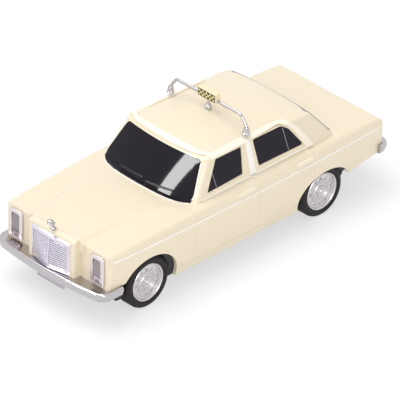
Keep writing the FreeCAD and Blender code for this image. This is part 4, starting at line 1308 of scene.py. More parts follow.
@dataclass
class Glazing(Assembly):
    """The black panes behind the openings, and the black cowl with its trim below the screen."""

    form: CarForm
    windows: Windows
    recess: float = 0.25 * MM
    gap: float = 0.08 * MM
    pane_depth: float = 2.2 * MM
    edge_angle: float = 30.0
    screen_proud: float = 0.03 * MM
    screen_sink: float = 0.9 * MM
    cowl_proud: float = 0.08 * MM
    cowl_depth: float = 0.3 * MM
    cowl_trim: float = 0.45 * MM
    trim_proud: float = 0.16 * MM
    cowl_back_x: float = 18.5 * MM
    cowl_edge: Tuple[Pair, ...] = in_mm((
        (20.1, 17.7), (21.3, 16.3), (22.3, 14.3), (23.1, 11.4), (23.55, 8.0), (23.8, 4.0), (23.9, 0.0)))

    def build(self) -> None:
        """Make the cowl, its trim and the panes."""
        edge = list(self.cowl_edge) + [(x, -y) for x, y in reversed(self.cowl_edge[:-1])]
        back = [(self.cowl_back_x, edge[-1][1]), (self.cowl_back_x, edge[0][1])]
        cowl = self._on_deck("screen_cowl", edge + back, self.cowl_proud)
        trim = self._on_deck("screen_trim", self._grown(edge) + edge[::-1], self.trim_proud)
        # The cowl's trim takes the near-white of painted reflection.
        for piece, finish in ((cowl, BLACK_GLASS), (trim, SILVER_TRIM_PAINTED_REFLECTION)):
            self.shelf.hand_over(piece, finish)
        surface = self.form.cabin("pane_surface", self.recess)
        screen_surface = self.form.cabin("screen_surface", -self.screen_proud)
        core = self.form.cabin("pane_core", self.recess + self.pane_depth)
        panes = self.windows.prisms(self.gap, self.screen_sink)
        for index, pane in enumerate(panes):
            keep_layer(pane, screen_surface if index == SCREEN else surface, core)
        discard(surface, screen_surface, core)
        glazing = joined("cabin_glazing", panes)
        self.shelf.hand_over(glazing, BLACK_GLASS, "glazing", angle=self.edge_angle)

    def _grown(self, edge: Sequence[Pair]) -> List[Pair]:
        """The cowl's edge, moved forward by the width of the trim.

        Args:
            edge: points in order, seen from above.

        Returns:
            The moved edge.
        """
        grown = []
        for index, (x, y) in enumerate(edge):
            before = Vector(edge[max(index - 1, 0)])
            after = Vector(edge[min(index + 1, len(edge) - 1)])
            along = (after - before).normalized()
            grown.append(tuple(Vector((x, y)) + Vector((-along.y, along.x)) * self.cowl_trim))
        return grown

    def _on_deck(self, name: str, outline: Sequence[Pair], proud: float) -> Piece:
        """Thin skin on the deck inside a plan outline.

        Args:
            name: name of the piece.
            outline: its outline, seen from above.
            proud: how far it stands out of the deck.

        Returns:
            The piece.
        """
        form = self.form
        piece = drawn(name, Plane.PLAN, outline, form.crease_z, form.roof_z - form.crease_z)
        combine(piece, form.lower_body("deck_surface", -proud), Join.KEEP_COMMON)
        combine(piece, form.lower_body("deck_core", self.cowl_depth), Join.CUT)
        return piece


@dataclass
class SideTrim(Assembly):
    """Drip rail, door frames, pillar and belt strips, screen brow, crease strips and handles."""

    form: CarForm
    windows: Windows
    proud: float = 0.28 * MM
    sunk_in: float = 0.06 * MM
    edge_angle: float = 40.0
    bevel_angle: float = 50.0
    frame_proud: float = 0.5 * MM
    frame_bevel: float = 0.3 * MM
    brow_half: float = 15.2 * MM
    brow_low_z: float = 37.35 * MM
    brow_top_z: float = 38.3 * MM
    brow_bevel: float = 0.18 * MM
    roof_lip: float = 1.7 * MM
    rail_low_z: float = 36.5 * MM
    rail_front: Pair = (10.8 * MM, 37.4 * MM)
    rail_run: float = 1.5 * MM
    frame_outer: Tuple[Pair, ...] = in_mm((
        (-7.5, 37.75), (-18.0, 37.3), (-21.3, 36.0), (-24.3, 33.5), (-29.6, 25.9)))
    frame_inner: Tuple[Pair, ...] = in_mm(((-26.9, 25.9), (-21.9, 33.9), (-20.3, 35.5), (-18.2, 36.4)))
    strip_low: Pair = (-3.5 * MM, -5.7 * MM)
    strip_top: Pair = (-3.2 * MM, -5.2 * MM)
    belt_front_x: float = 16.8 * MM
    belt_rear_x: float = -29.0 * MM
    belt_low_z: float = 25.75 * MM
    belt_height: float = 0.4 * MM
    crease_ends: Pair = (-55.9 * MM, 54.9 * MM)
    crease_proud: float = 0.22 * MM
    crease_root: float = 0.25 * MM
    crease_edge_share: float = 0.7
    crease_flat_share: float = 0.6
    crease_tip_share: float = 0.2
    crease_taper: float = 12.0
    crease_stations: int = 60
    handle_size: Pair = (6.8 * MM, 1.1 * MM)
    handle_proud: float = 0.6 * MM
    handle_bevel: float = 0.15 * MM
    handle_places: Pair = (1.0 * MM, -23.4 * MM)
    handle_z: float = 23.7 * MM
    surround_width: float = 0.32 * MM
    surround_proud: float = 0.14 * MM
    surround_top_gap: float = 0.8 * MM
    surround_low_gap: float = 0.5 * MM

    def build(self) -> None:
        """Make the trim of both sides and the window surrounds."""
        form = self.form
        frame_surface = form.cabin("frame_surface", -self.frame_proud)
        surface = form.cabin("trim_surface", -self.proud)
        core = form.cabin("trim_core", self.sunk_in)
        lip_ring = form.cabin_ring(self.rail_low_z, self.roof_lip)
        roof_core = prism("roof_core", lip_ring, Vector((0, 0, form.roof_z - self.rail_low_z)))
        for side in Side:
            for word, outline, finish in self._bands():
                is_frame = finish is CREAM_PAINTED_HIGHLIGHT
                band = form.through_wall(word + "_" + side.word, outline, side)
                keep_layer(band, frame_surface if is_frame else surface, core)
                if is_frame:
                    combine(band, roof_core, Join.CUT, True)
                    soften(band, self.frame_bevel, 4, self.bevel_angle)
                self.shelf.hand_over(band, finish, angle=self.edge_angle)
        corners = oblong((-self.brow_half, self.brow_low_z), (self.brow_half, self.brow_top_z))
        brow = drawn("screen_brow", Plane.END, corners, 0.0, form.screen_base_x)
        keep_layer(brow, surface, core)
        combine(brow, roof_core, Join.CUT, True)
        soften(brow, self.brow_bevel, 3, self.bevel_angle)
        # The brow takes the lighter cream of painted highlight along the roof's front edge.
        self.shelf.hand_over(brow, CREAM_PAINTED_HIGHLIGHT, angle=self.edge_angle)
        discard(frame_surface, surface, core, roof_core)
        self._surrounds()
        strip = self._crease_strip()
        handles = [self._handle(x) for x in self.handle_places]
        # The crease strips take the near-white of painted reflection.
        self.shelf.hand_over_pair(strip, SILVER_TRIM_PAINTED_REFLECTION, "crease_strip")
        # The handles take a lighter cream that is partly painted highlight.
        for handle, stem in zip(handles, ("front_handle", "rear_handle")):
            self.shelf.hand_over_pair(handle, HANDLE_PAINT_AND_HIGHLIGHT, stem)

    def _bands(self) -> List[Tuple[str, List[Pair], Finish]]:
        """Names, outlines as (x, z) and finishes of the door frame, the pillar strip and the belt.

        Returns:
            One row for each.
        """
        belt_z = self.form.belt_z
        rail_z = self.rail_low_z
        frame_outline = [(self.rail_front[0], rail_z), self.rail_front]
        frame_outline += list(self.frame_outer) + list(self.frame_inner)
        frame_outline.append((self.frame_inner[-1][0] + self.rail_run, rail_z))
        strip = [
            (self.strip_low[0], belt_z), (self.strip_top[0], rail_z), (self.strip_top[1], rail_z),
            (self.strip_low[1], belt_z),
        ]
        low = self.belt_low_z
        top = low + self.belt_height
        front_x = self.belt_front_x
        rear_x = self.belt_rear_x
        belt = [(front_x, low), (front_x, top), (rear_x, top), (rear_x, low)]
        # The pillar strip and belt take the near-white of painted reflection; the door frame takes the
        # lighter cream of painted highlight.
        return [
            ("door_frame", frame_outline, CREAM_PAINTED_HIGHLIGHT), ("pillar_strip", strip, SILVER_TRIM_PAINTED_REFLECTION),
            ("belt_trim", belt, SILVER_TRIM_PAINTED_REFLECTION),
        ]

    def _surrounds(self) -> None:
        """Thin frames round the screen, open above and below, and round the rear window."""
        form = self.form
        surface = form.cabin("surround_surface", -self.surround_proud)
        core = form.cabin("surround_core", self.sunk_in)
        grown = self.windows.prisms(-self.surround_width)
        openings = self.windows.prisms(0.0)
        discard(*grown[:SCREEN], *openings[:SCREEN])
        for surround, opening in zip(grown[SCREEN:], openings[SCREEN:]):
            combine(surround, opening, Join.CUT)
            keep_layer(surround, surface, core)
        discard(surface, core)
        screen, rear = grown[SCREEN:]
        reach = form.half_width
        top = self.windows.screen_top_z - self.surround_top_gap
        low = self.windows.screen_low_z + self.surround_low_gap
        for start_z, end_z in ((top, form.roof_z), (0, low)):
            combine(screen, block("surround_cut", (0, -reach, start_z), (reach, reach, end_z)), Join.CUT)
        # The screen's surround takes the near-white of painted reflection.
        for surround, word, finish in ((screen, "screen", SILVER_TRIM_PAINTED_REFLECTION), (rear, "rear_window", DIVIDER_GREY)):
            surround.name = word + "_surround"
            self.shelf.hand_over(surround, finish)

    def _crease_strip(self) -> Piece:
        """The left flank's long strip, with a rounded section.

        Returns:
            The strip.
        """
        form = self.form
        half = form.crease_height / 2
        rear_x, front_x = self.crease_ends
        root = self.crease_root
        flat = self.crease_flat_share
        rings = []
        for index in range(self.crease_stations + 1):
            share = index / self.crease_stations
            x = rear_x + (front_x - rear_x) * share
            taper = min(1.0, self.crease_tip_share + self.crease_taper * min(share, 1 - share))
            skin = form.half_width_at(x)
            z = form.crease_at(x)
            proud = self.crease_proud * taper
            edge = proud * self.crease_edge_share
            section = ((-root, -1), (edge, -1), (proud, -flat), (proud, flat), (edge, 1), (-root, 1))
            rings.append([Vector((x, skin + y, z + height * half)) for y, height in section])
        return lofted("crease_strip", rings)

    def _handle(self, x: float) -> Piece:
        """A left pull handle with soft edges.

        Args:
            x: where its middle lies.

        Returns:
            The handle.
        """
        form = self.form
        length, height = self.handle_size
        low = self.handle_z - height / 2 + form.crease_rise * x / form.reach
        root = form.half_width_at(x) - form.shoulder_lean
        tip = form.half_width_at(x) + self.handle_proud - form.shoulder_lean / 2
        corners = oblong((x - length / 2, low), (x + length / 2, low + height))
        piece = drawn("handle", Plane.SIDE, rounded_outline(corners, height / 3), root, tip - root)
        soften(piece, self.handle_bevel)
        return piece


@dataclass
class PaneDetail(Assembly):
    """Wipers on the screen and the thin dividers of the side windows."""

    form: CarForm
    recess: float = 0.25 * MM
    wiper_width: float = 0.4 * MM
    wiper_proud: float = 0.22 * MM
    wiper_low_z: float = 26.8 * MM
    wiper_rise: float = 0.45 * MM
    wiper_inner_y: float = 1.6 * MM
    wiper_outer_y: float = 11.4 * MM
    divider_width: float = 0.26 * MM
    divider_proud: float = 0.06 * MM
    dividers: Tuple[Tuple[Pair, Pair], ...] = (
        ((10.0 * MM, 27.6 * MM), (10.9 * MM, 32.5 * MM)), ((-20.0 * MM, 27.7 * MM), (-18.9 * MM, 35.0 * MM)))

    def build(self) -> None:
        """Make the wipers and the dividers."""
        form = self.form
        surface = form.cabin("detail_surface", -self.wiper_proud)
        core = form.cabin("detail_core", self.recess + self.wiper_proud)
        wiper_reach = form.screen_base_x + form.over - form.screen_head_x
        for index, shift in enumerate((0.0, -self.wiper_outer_y)):
            start = (self.wiper_inner_y + shift, self.wiper_low_z)
            end = (self.wiper_outer_y + shift, self.wiper_low_z + self.wiper_rise)
            corners = strip_corners(start, end, self.wiper_width)
            wiper = drawn("wiper_%d" % (index + 1), Plane.END, corners, form.screen_head_x, wiper_reach)
            keep_layer(wiper, surface, core)
            self.shelf.hand_over(wiper, BLACK_TRIM)
        discard(surface)
        surface = form.cabin("divider_surface", self.recess - self.divider_proud)
        for index, (low, top) in enumerate(self.dividers):
            corners = strip_corners(low, top, self.divider_width)
            for side in Side:
                divider = form.through_wall("divider_%d_%s" % (index + 1, side.word), corners, side)
                keep_layer(divider, surface, core)
                self.shelf.hand_over(divider, DIVIDER_GREY)
        discard(surface, core)


@dataclass
class Radiator(Assembly):
    """V-shaped grille with its frame, centre rib and louvres, and the ornament on top."""

    seat_x: float = 58.3 * MM
    side_low_x: float = 59.0 * MM
    side_top_x: float = 59.45 * MM
    apex_low_x: float = 60.6 * MM
    apex_top_x: float = 59.85 * MM
    half_width: float = 8.0 * MM
    low_z: float = 12.8 * MM
    top_z: float = 24.1 * MM
    top_slope: float = 0.7 * MM
    levels: int = 8
    shell_bevel: float = 0.18 * MM
    frame_width: float = 0.75 * MM
    rib: float = 0.4 * MM
    recess: float = 0.5 * MM
    over: float = 1.0 * MM
    louvres: int = 12
    louvre_height: float = 0.5 * MM
    louvre_depth: float = 0.45 * MM
    louvre_set_back: float = 0.12 * MM
    louvre_root: float = 0.05 * MM
    louvre_bevel: float = 0.08 * MM
    ornament_x: float = 57.6 * MM
    ornament_z: float = 24.0 * MM
    ornament_lean: float = 0.4
    ornament_edge_angle: float = 50.0
    ornament_profile: Tuple[Pair, ...] = in_mm((
        (0.0, 0.0), (0.8, 0.0), (0.8, 0.5), (0.6, 0.7), (0.85, 1.0), (0.98, 1.4), (0.85, 1.85),
        (0.45, 2.15), (0.38, 2.6), (0.55, 2.9), (1.0, 3.1), (1.22, 3.5), (1.15, 3.8), (0.85, 3.95),
        (0.98, 4.15), (0.9, 4.6), (0.5, 4.9), (0.0, 5.0)))

    def build(self) -> None:
        """Make the frame, the louvres and the ornament."""
        low = self.low_z + self.frame_width
        high = self.top_z - self.frame_width - self.top_slope
        side_y = self.half_width - self.frame_width
        shell = self._shell()
        for way in (1, -1):
            inner = way * self.rib / 2
            rings = [self._cell(inner, way * side_y, z, -self.over, self.recess) for z in (low, high)]
            combine(shell, lofted("pocket", rings), Join.CUT)
        self.shelf.hand_over(shell, GRILLE_BRIGHT, "radiator_grille")
        pitch = (high - low) / (self.louvres + 1)
        front = self.louvre_set_back
        slats = []
        for way in (1, -1):
            inner = way * (self.rib / 2 - self.louvre_root)
            outer = way * (side_y + self.louvre_root)
            for index in range(self.louvres):
                z = low + pitch * (index + 1) - self.louvre_height / 2
                corners = self._cell(inner, outer, z, front, front + self.louvre_depth)
                slats.append(prism("louvre", corners, Vector((0, 0, self.louvre_height))))
        louvres = joined("grille_louvres", slats)
        soften(louvres, self.louvre_bevel, 2)
        self.shelf.hand_over(louvres, GRILLE_BRIGHT)
        self._ornament()

    def _front_x(self, y: float, z: float, back: float) -> float:
        """The grille's front at y and z, moved back.

        Args:
            y: distance from the middle.
            z: height.
            back: how far it is moved.

        Returns:
            Its X.
        """
        share = (z - self.low_z) / (self.top_z - self.low_z)
        side = self.side_low_x + (self.side_top_x - self.side_low_x) * share
        apex = self.apex_low_x + (self.apex_top_x - self.apex_low_x) * share
        return apex - back - (apex - side) * abs(y) / self.half_width

    def _cell(self, inner: float, outer: float, z: float, front: float, back: float) -> Ring:
        """Plan of a bar from inner to outer, whose front and back lie that far behind the grille's front."""
        ends = ((inner, back), (inner, front), (outer, front), (outer, back))
        return [Vector((self._front_x(y, z, depth), y, z)) for y, depth in ends]

    def _shell(self) -> Piece:
        """The V-shaped block with its sloping top.

        Returns:
            The block.
        """
        half = self.half_width
        rings = []
        for step in range(self.levels + 1):
            z = self.low_z + (self.top_z - self.low_z) * step / self.levels
            right = [Vector((self.seat_x, -half, z)), Vector((self._front_x(half, z, 0.0), -half, z))]
            rings.append(right + [Vector((self._front_x(0.0, z, 0.0), 0, z))] + across_car(right))
        shell = lofted("grille_shell", rings)
        above = self.top_z + self.top_slope
        tip = self.apex_low_x
        seat = self.seat_x
        slope = [(seat, self.top_z), (tip, self.top_z - self.top_slope), (tip, above), (seat, above)]
        combine(shell, drawn("slope", Plane.SIDE, slope, -half * 2, half * 4), Join.CUT)
        soften(shell, self.shell_bevel)
        return shell

    def _ornament(self) -> None:
        """Small turned ornament with a foot and two bulbs, leaning forward."""
        centre = Vector((self.ornament_x, 0, self.ornament_z))
        ornament = turned("ornament", self.ornament_profile, centre, True, 32)
        for vertex in ornament.data.vertices:
            vertex.co.x += (vertex.co.z - self.ornament_z) * self.ornament_lean
        self.shelf.hand_over(ornament, CHROME, "hood_finial", angle=self.ornament_edge_angle)


@dataclass
class Headlamps(Assembly):
    """Upright lamp frames and their fluted lenses."""

    nose_x: float = 56.4 * MM
    inner_y: float = 14.3 * MM
    width: float = 5.6 * MM
    low_z: float = 13.2 * MM
    height: float = 10.1 * MM
    corner: float = 1.5 * MM
    rim: float = 1.15 * MM
    tube_inset: float = 0.3 * MM
    depth: float = 2.0 * MM
    proud: float = 0.7 * MM
    rounding: float = 0.42 * MM
    seat: float = 0.05 * MM
    lens_gap: float = 0.05 * MM
    lens_depth: float = 1.3 * MM
    lens_front: float = 0.2 * MM
    lens_bulge: float = 0.7 * MM
    lens_edge_angle: float = 45.0
    lens_levels: int = 12
    flutes: int = 6
    flute_depth: float = 0.2 * MM
    flute_steps: int = 8

    def build(self) -> None:
        """Make both lamps."""
        front = self.nose_x + self.proud
        seat = self.nose_x + self.seat
        back = self.nose_x - self.depth
        bezel = drawn("bezel", Plane.END, self._outline(0.0), seat, front - seat)
        soften(bezel, self.rounding, 4)
        inset = self.tube_inset
        tube = block(
            "tube", (back, self.inner_y + inset, self.low_z + inset),
            (seat + self.seat, self.inner_y + self.width - inset, self.low_z + self.height - inset))
        combine(bezel, tube, Join.ADD)
        floor = self.nose_x - self.lens_depth
        mouth = drawn("mouth", Plane.END, self._outline(self.rim), floor, front + self.depth - floor)
        combine(bezel, mouth, Join.CUT)
        lens = self._lens(floor)
        self.shelf.hand_over_pair(bezel, LAMP_FRAME, "headlamp_bezel_trim", "headlamp_bezel")
        self.shelf.hand_over_pair(lens, LENS, "headlamp_lens_trim", "headlamp_lens", self.lens_edge_angle)

    def _outline(self, inset: float) -> List[Pair]:
        """Rounded outline of the left lamp as (y, z), moved in."""
        high = (self.inner_y + self.width - inset, self.low_z + self.height - inset)
        corners = oblong((self.inner_y + inset, self.low_z + inset), high)
        return rounded_outline(corners, self.corner - inset / 2)

    def _lens(self, floor: float) -> Piece:
        """Left lens: bowed from top to bottom, with upright flutes.

        Args:
            floor: the X of its back.

        Returns:
            The lens.
        """
        margin = self.rim + self.lens_gap
        low_z = self.low_z + margin
        high_z = self.low_z + self.height - margin
        half = (high_z - low_z) / 2
        middle = (high_z + low_z) / 2
        width = self.width - 2 * margin
        steps = self.flutes * self.flute_steps
        rings = []
        for index in range(steps + 1):
            share = index / steps
            y = self.inner_y + margin + width * share
            groove = self.flute_depth * (0.5 + 0.5 * math.cos(2 * math.pi * self.flutes * share))
            ring = [Vector((floor, y, low_z))]
            for level in range(self.lens_levels + 1):
                z = low_z + (high_z - low_z) * level / self.lens_levels
                bulge = self.lens_bulge * (1 - ((z - middle) / half) ** 2)
                ring.append(Vector((self.nose_x + self.lens_front + bulge - groove, y, z)))
            ring.append(Vector((floor, y, high_z)))
            rings.append(ring)
        return lofted("lens", rings)


@dataclass
class TailLamps(Assembly):
    """Red lenses at the rear corners."""

    form: CarForm
    low: Pair = (11.65 * MM, 16.65 * MM)
    high: Pair = (19.75 * MM, 20.35 * MM)
    proud: float = 0.3 * MM
    depth: float = 0.6 * MM
    ribs: int = 3
    rib_gap: float = 0.18 * MM
    rib_depth: float = 0.12 * MM

    def build(self) -> None:
        """Make both lenses with grooves across them."""
        form = self.form
        lens = form.lower_body("tail_lens", -self.proud)
        combine(lens, form.lower_body("lens_floor", self.depth, deep=True), Join.CUT)
        start = form.tail_x - form.over
        end = form.tail_x + 2 * form.over
        low_y, low_z = self.low
        high_y, high_z = self.high
        combine(lens, block("limit", (start, low_y, low_z), (end, high_y, high_z)), Join.KEEP_COMMON)
        keep = form.lower_body("rib_floor", self.rib_depth - self.proud, deep=True)
        low_y -= self.proud
        high_y += self.proud
        for index in range(self.ribs):
            z = low_z + (high_z - low_z) * (index + 1) / (self.ribs + 1)
            groove = block("groove", (start, low_y, z), (end, high_y, z + self.rib_gap))
            combine(groove, keep, Join.CUT, True)
            combine(lens, groove, Join.CUT)
        discard(keep)
        self.shelf.hand_over_pair(lens, RED_LENS, "tail_lens", "tail_lamp")


@dataclass
class Bumpers(Assembly):
    """Bright wrap-round bumpers and the bare number plate below the front one."""

    form: CarForm
    reach_x: float = 61.7 * MM
    bow: float = 1.4 * MM
    half_width: float = 23.0 * MM
    corner: float = 4.2 * MM
    edge_angle: float = 40.0
    ends: Pair = (51.6 * MM, 55.6 * MM)
    lows: Pair = (9.9 * MM, 12.3 * MM)
    profile: Tuple[Pair, ...] = in_mm((
        (0.0, 1.1), (0.07, 0.7), (0.29, 0.42), (0.8, 0.36), (0.99, 0.42), (1.05, 0.62), (1.15, 0.62),
        (1.19, 0.2), (1.31, 0.04), (1.49, 0.0), (2.29, 0.0), (2.64, 0.06), (2.87, 0.2), (3.0, 0.42),
        (3.05, 0.62), (2.98, 0.8), (2.87, 1.0)))
    gap: float = 0.05 * MM
    plate_half: float = 5.5 * MM
    plate_low: float = 7.1 * MM
    plate_top: float = 10.45 * MM
    plate_thickness: float = 0.6 * MM
    plate_x: float = 59.2 * MM
    plate_bevel: float = 0.12 * MM
    plate_rim: float = 0.22 * MM
    plate_sink: float = 0.1 * MM

    def build(self) -> None:
        """Make both bumpers and the plate."""
        form = self.form
        for word, way, end_x, low in zip(("front", "rear"), (1, -1), self.ends, self.lows):
            band = self._band(low, end_x)
            if way < 0:
                for vertex in band.data.vertices:
                    vertex.co.x = -vertex.co.x
                in_edit_mode(band, lambda: bpy.ops.mesh.flip_normals())
            combine(band, form.lower_body("bumper_seat", -self.gap), Join.CUT)
            band.name = word + "_bumper_band"
            self.shelf.hand_over(band, CHROME, word + "_bumper", angle=self.edge_angle)
        plate = block(
            "front_plate", (self.plate_x - self.plate_thickness, -self.plate_half, self.plate_low),
            (self.plate_x, self.plate_half, self.plate_top), self.plate_bevel)
        sunk(plate, Vector((1, 0, 0)), self.plate_rim, self.plate_sink)
        # The plate's face carries painted shade: purple-grey in place of white.
        self.shelf.hand_over(plate, PLATE_PAINTED_SHADE, "front_number_plate")

    def _outline(self, inset: float, end_x: float, z: float) -> Ring:
        """Plan of a bumper's outside, closed behind.

        Args:
            inset: how far it lies inside the bumper's greatest outline.
            end_x: where its ends stop.
            z: its height.

        Returns:
            A closed ring of points.
        """
        half = self.half_width - inset
        tip = self.reach_x - inset
        cheek = tip - self.bow
        corner = self.corner - inset
        left = [Vector((end_x, half, z))]
        knee = Vector((cheek, half, z))
        left += round_points(Vector((cheek - corner, half, z)), knee, Vector((cheek, half - corner, z)), 12)
        right = across_car(left)
        return left + bow_points(left[-1], Vector((tip, 0, z)), right[0], 24) + right

    def _band(self, low: float, end_x: float) -> Piece:
        """Front band from this height up, with a lower lip, a groove, a rounded face and a dished top."""
        return lofted("bumper_band", [self._outline(inset, end_x, low + up) for up, inset in self.profile])


@dataclass
class RoofSign(Assembly):
    """Bent roof bar with its feet, and the sign box with a chequered front."""

    form: CarForm
    bar_x: float = -5.1 * MM
    bar_z: float = 43.75 * MM
    bar_radius: float = 0.5 * MM
    bar_half: float = 13.6 * MM
    bar_sides: int = 20
    bend: float = 1.3 * MM
    edge_angle: float = 40.0
    foot_y: float = 15.9 * MM
    foot_radius: float = 0.95 * MM
    foot_height: float = 2.1 * MM
    foot_shares: Tuple[Pair, ...] = (
        (0.0, 0.0), (1.25, 0.0), (1.25, 0.12), (1.05, 0.22), (1.0, 0.35), (0.92, 0.8), (0.7, 1.0),
        (0.0, 1.08))
    clip_radii: Triple = (1.05 * MM, 0.9 * MM, 0.6 * MM)
    clip_rise_shares: Triple = (0.3, 0.38, 0.42)
    seat: float = 0.03 * MM
    box_size: Triple = (1.9 * MM, 7.8 * MM, 3.1 * MM)
    box_drop: float = 0.65 * MM
    box_bevel: float = 0.22 * MM
    margin: float = 0.3 * MM
    recess: float = 0.2 * MM
    over: float = 1.0 * MM
    panel_gap: float = 0.03 * MM
    panel_proud: float = 0.02 * MM
    panel_bevel: float = 0.05 * MM
    checks: Tuple[int, int] = (3, 9)
    check_rim: float = 0.25 * MM
    check_depth: float = 0.06 * MM
    check_bevel: float = 0.02 * MM

    def build(self) -> None:
        """Make the bar, the box and its front."""
        self._bar()
        self._box()

    def _tube(self, surface: float) -> Piece:
        """Bent tube of the bar, from foot to foot.

        Args:
            surface: height of the roof at the feet.

        Returns:
            The tube.
        """
        start = Vector((self.bar_x, self.foot_y, surface + self.foot_height))
        knee = Vector((self.bar_x, self.bar_half, self.bar_z))
        leg = (start - knee).normalized()
        path = [start] + round_points(knee + leg * self.bend, knee, knee - Vector((0, self.bend, 0)), 12)
        path += across_car(path)
        across = Vector((1, 0, 0))
        rings = []
        for index, point in enumerate(path):
            along = (path[min(index + 1, len(path) - 1)] - path[max(index - 1, 0)]).normalized()
            upward = along.cross(across)
            ring = []
            for side in range(self.bar_sides):
                angle = 2 * math.pi * side / self.bar_sides
                sideways = across * (self.bar_radius * math.cos(angle))
                ring.append(point + sideways + upward * (self.bar_radius * math.sin(angle)))
            rings.append(ring)
        return lofted("bar_tube", rings)

    def _bar(self) -> None:
        """The tube with two flanged feet and a clip in the middle."""
        surface = self.form.roof_at(self.bar_x, self.foot_y) + self.seat
        bar = self._tube(surface)
        foot = [(self.foot_radius * r, self.foot_height * h) for r, h in self.foot_shares]
        pieces = []
        for side in Side:
            seat = Vector((self.bar_x, side.value * self.foot_y, surface))
            pieces.append(turned("foot", foot, seat, True, 32))
        roof = self.form.roof_at(self.bar_x, 0.0) + self.seat
        rise = self.bar_z - self.bar_radius * 0.5 - roof
        flange, waist, neck = self.clip_radii
        first, second, third = [rise * share for share in self.clip_rise_shares]
        clip = [
            (0.0, 0.0), (flange, 0.0), (flange, first), (waist, second), (neck, third), (neck, rise),
            (0.0, rise)]
        pieces.append(turned("clip", clip, Vector((self.bar_x, 0, roof)), True, 32))
        for piece in pieces:
            combine(bar, piece, Join.ADD)
        bar.name = "roof_bar_tube"
        self.shelf.hand_over(bar, CHROME, "roof_bar", angle=self.edge_angle)

    def _box(self) -> None:
        """Sign housing with a sunk front, the dark front and its checks."""
        depth, width, height = self.box_size
        low = Vector((self.bar_x - depth / 2, -width / 2, self.bar_z - self.box_drop))
        high = low + Vector((depth, width, height))
        housing = block("sign_housing", low, high, self.box_bevel)
        face_x = high.x
        margin = self.margin
        mouth = block(
            "mouth", (face_x - self.recess, low.y + margin, low.z + margin),
            (face_x + self.over, high.y - margin, high.z - margin))
        combine(housing, mouth, Join.CUT)
        self.shelf.hand_over(housing, SIGN_CREAM, "sign_box")
        gap = self.panel_gap
        back_x = face_x - (self.recess - gap)
        panel_low = Vector((back_x, low.y + margin + gap, low.z + margin + gap))
        panel_high = Vector((face_x + self.panel_proud, high.y - margin - gap, high.z - margin - gap))
        panel = block("sign_front_panel", panel_low, panel_high, self.panel_bevel)
        self.shelf.hand_over(panel, SIGN_BLACK, "sign_panel")
        self._checks(panel_low, panel_high)

    def _checks(self, low: Vector, high: Vector) -> None:
        """Rows of raised checks on the front panel.

        Args:
            low: the panel's lowest corner.
            high: its highest corner.
        """
        rows, columns = self.checks
        rim = self.check_rim
        size_y = (high.y - low.y - 2 * rim) / columns
        size_z = (high.z - low.z - 2 * rim) / rows
        size = Vector((self.check_depth, size_y, size_z))
        tiles = []
        for row in range(rows):
            for column in range(columns):
                if (row + column) % 2:
                    continue
                corner = Vector((
                    high.x - self.panel_proud, low.y + rim + column * size_y, low.z + rim + row * size_z))
                tiles.append(block("check", corner, corner + size, self.check_bevel))
        checks = joined("sign_check_tiles", tiles)
        self.shelf.hand_over(checks, SIGN_YELLOW)


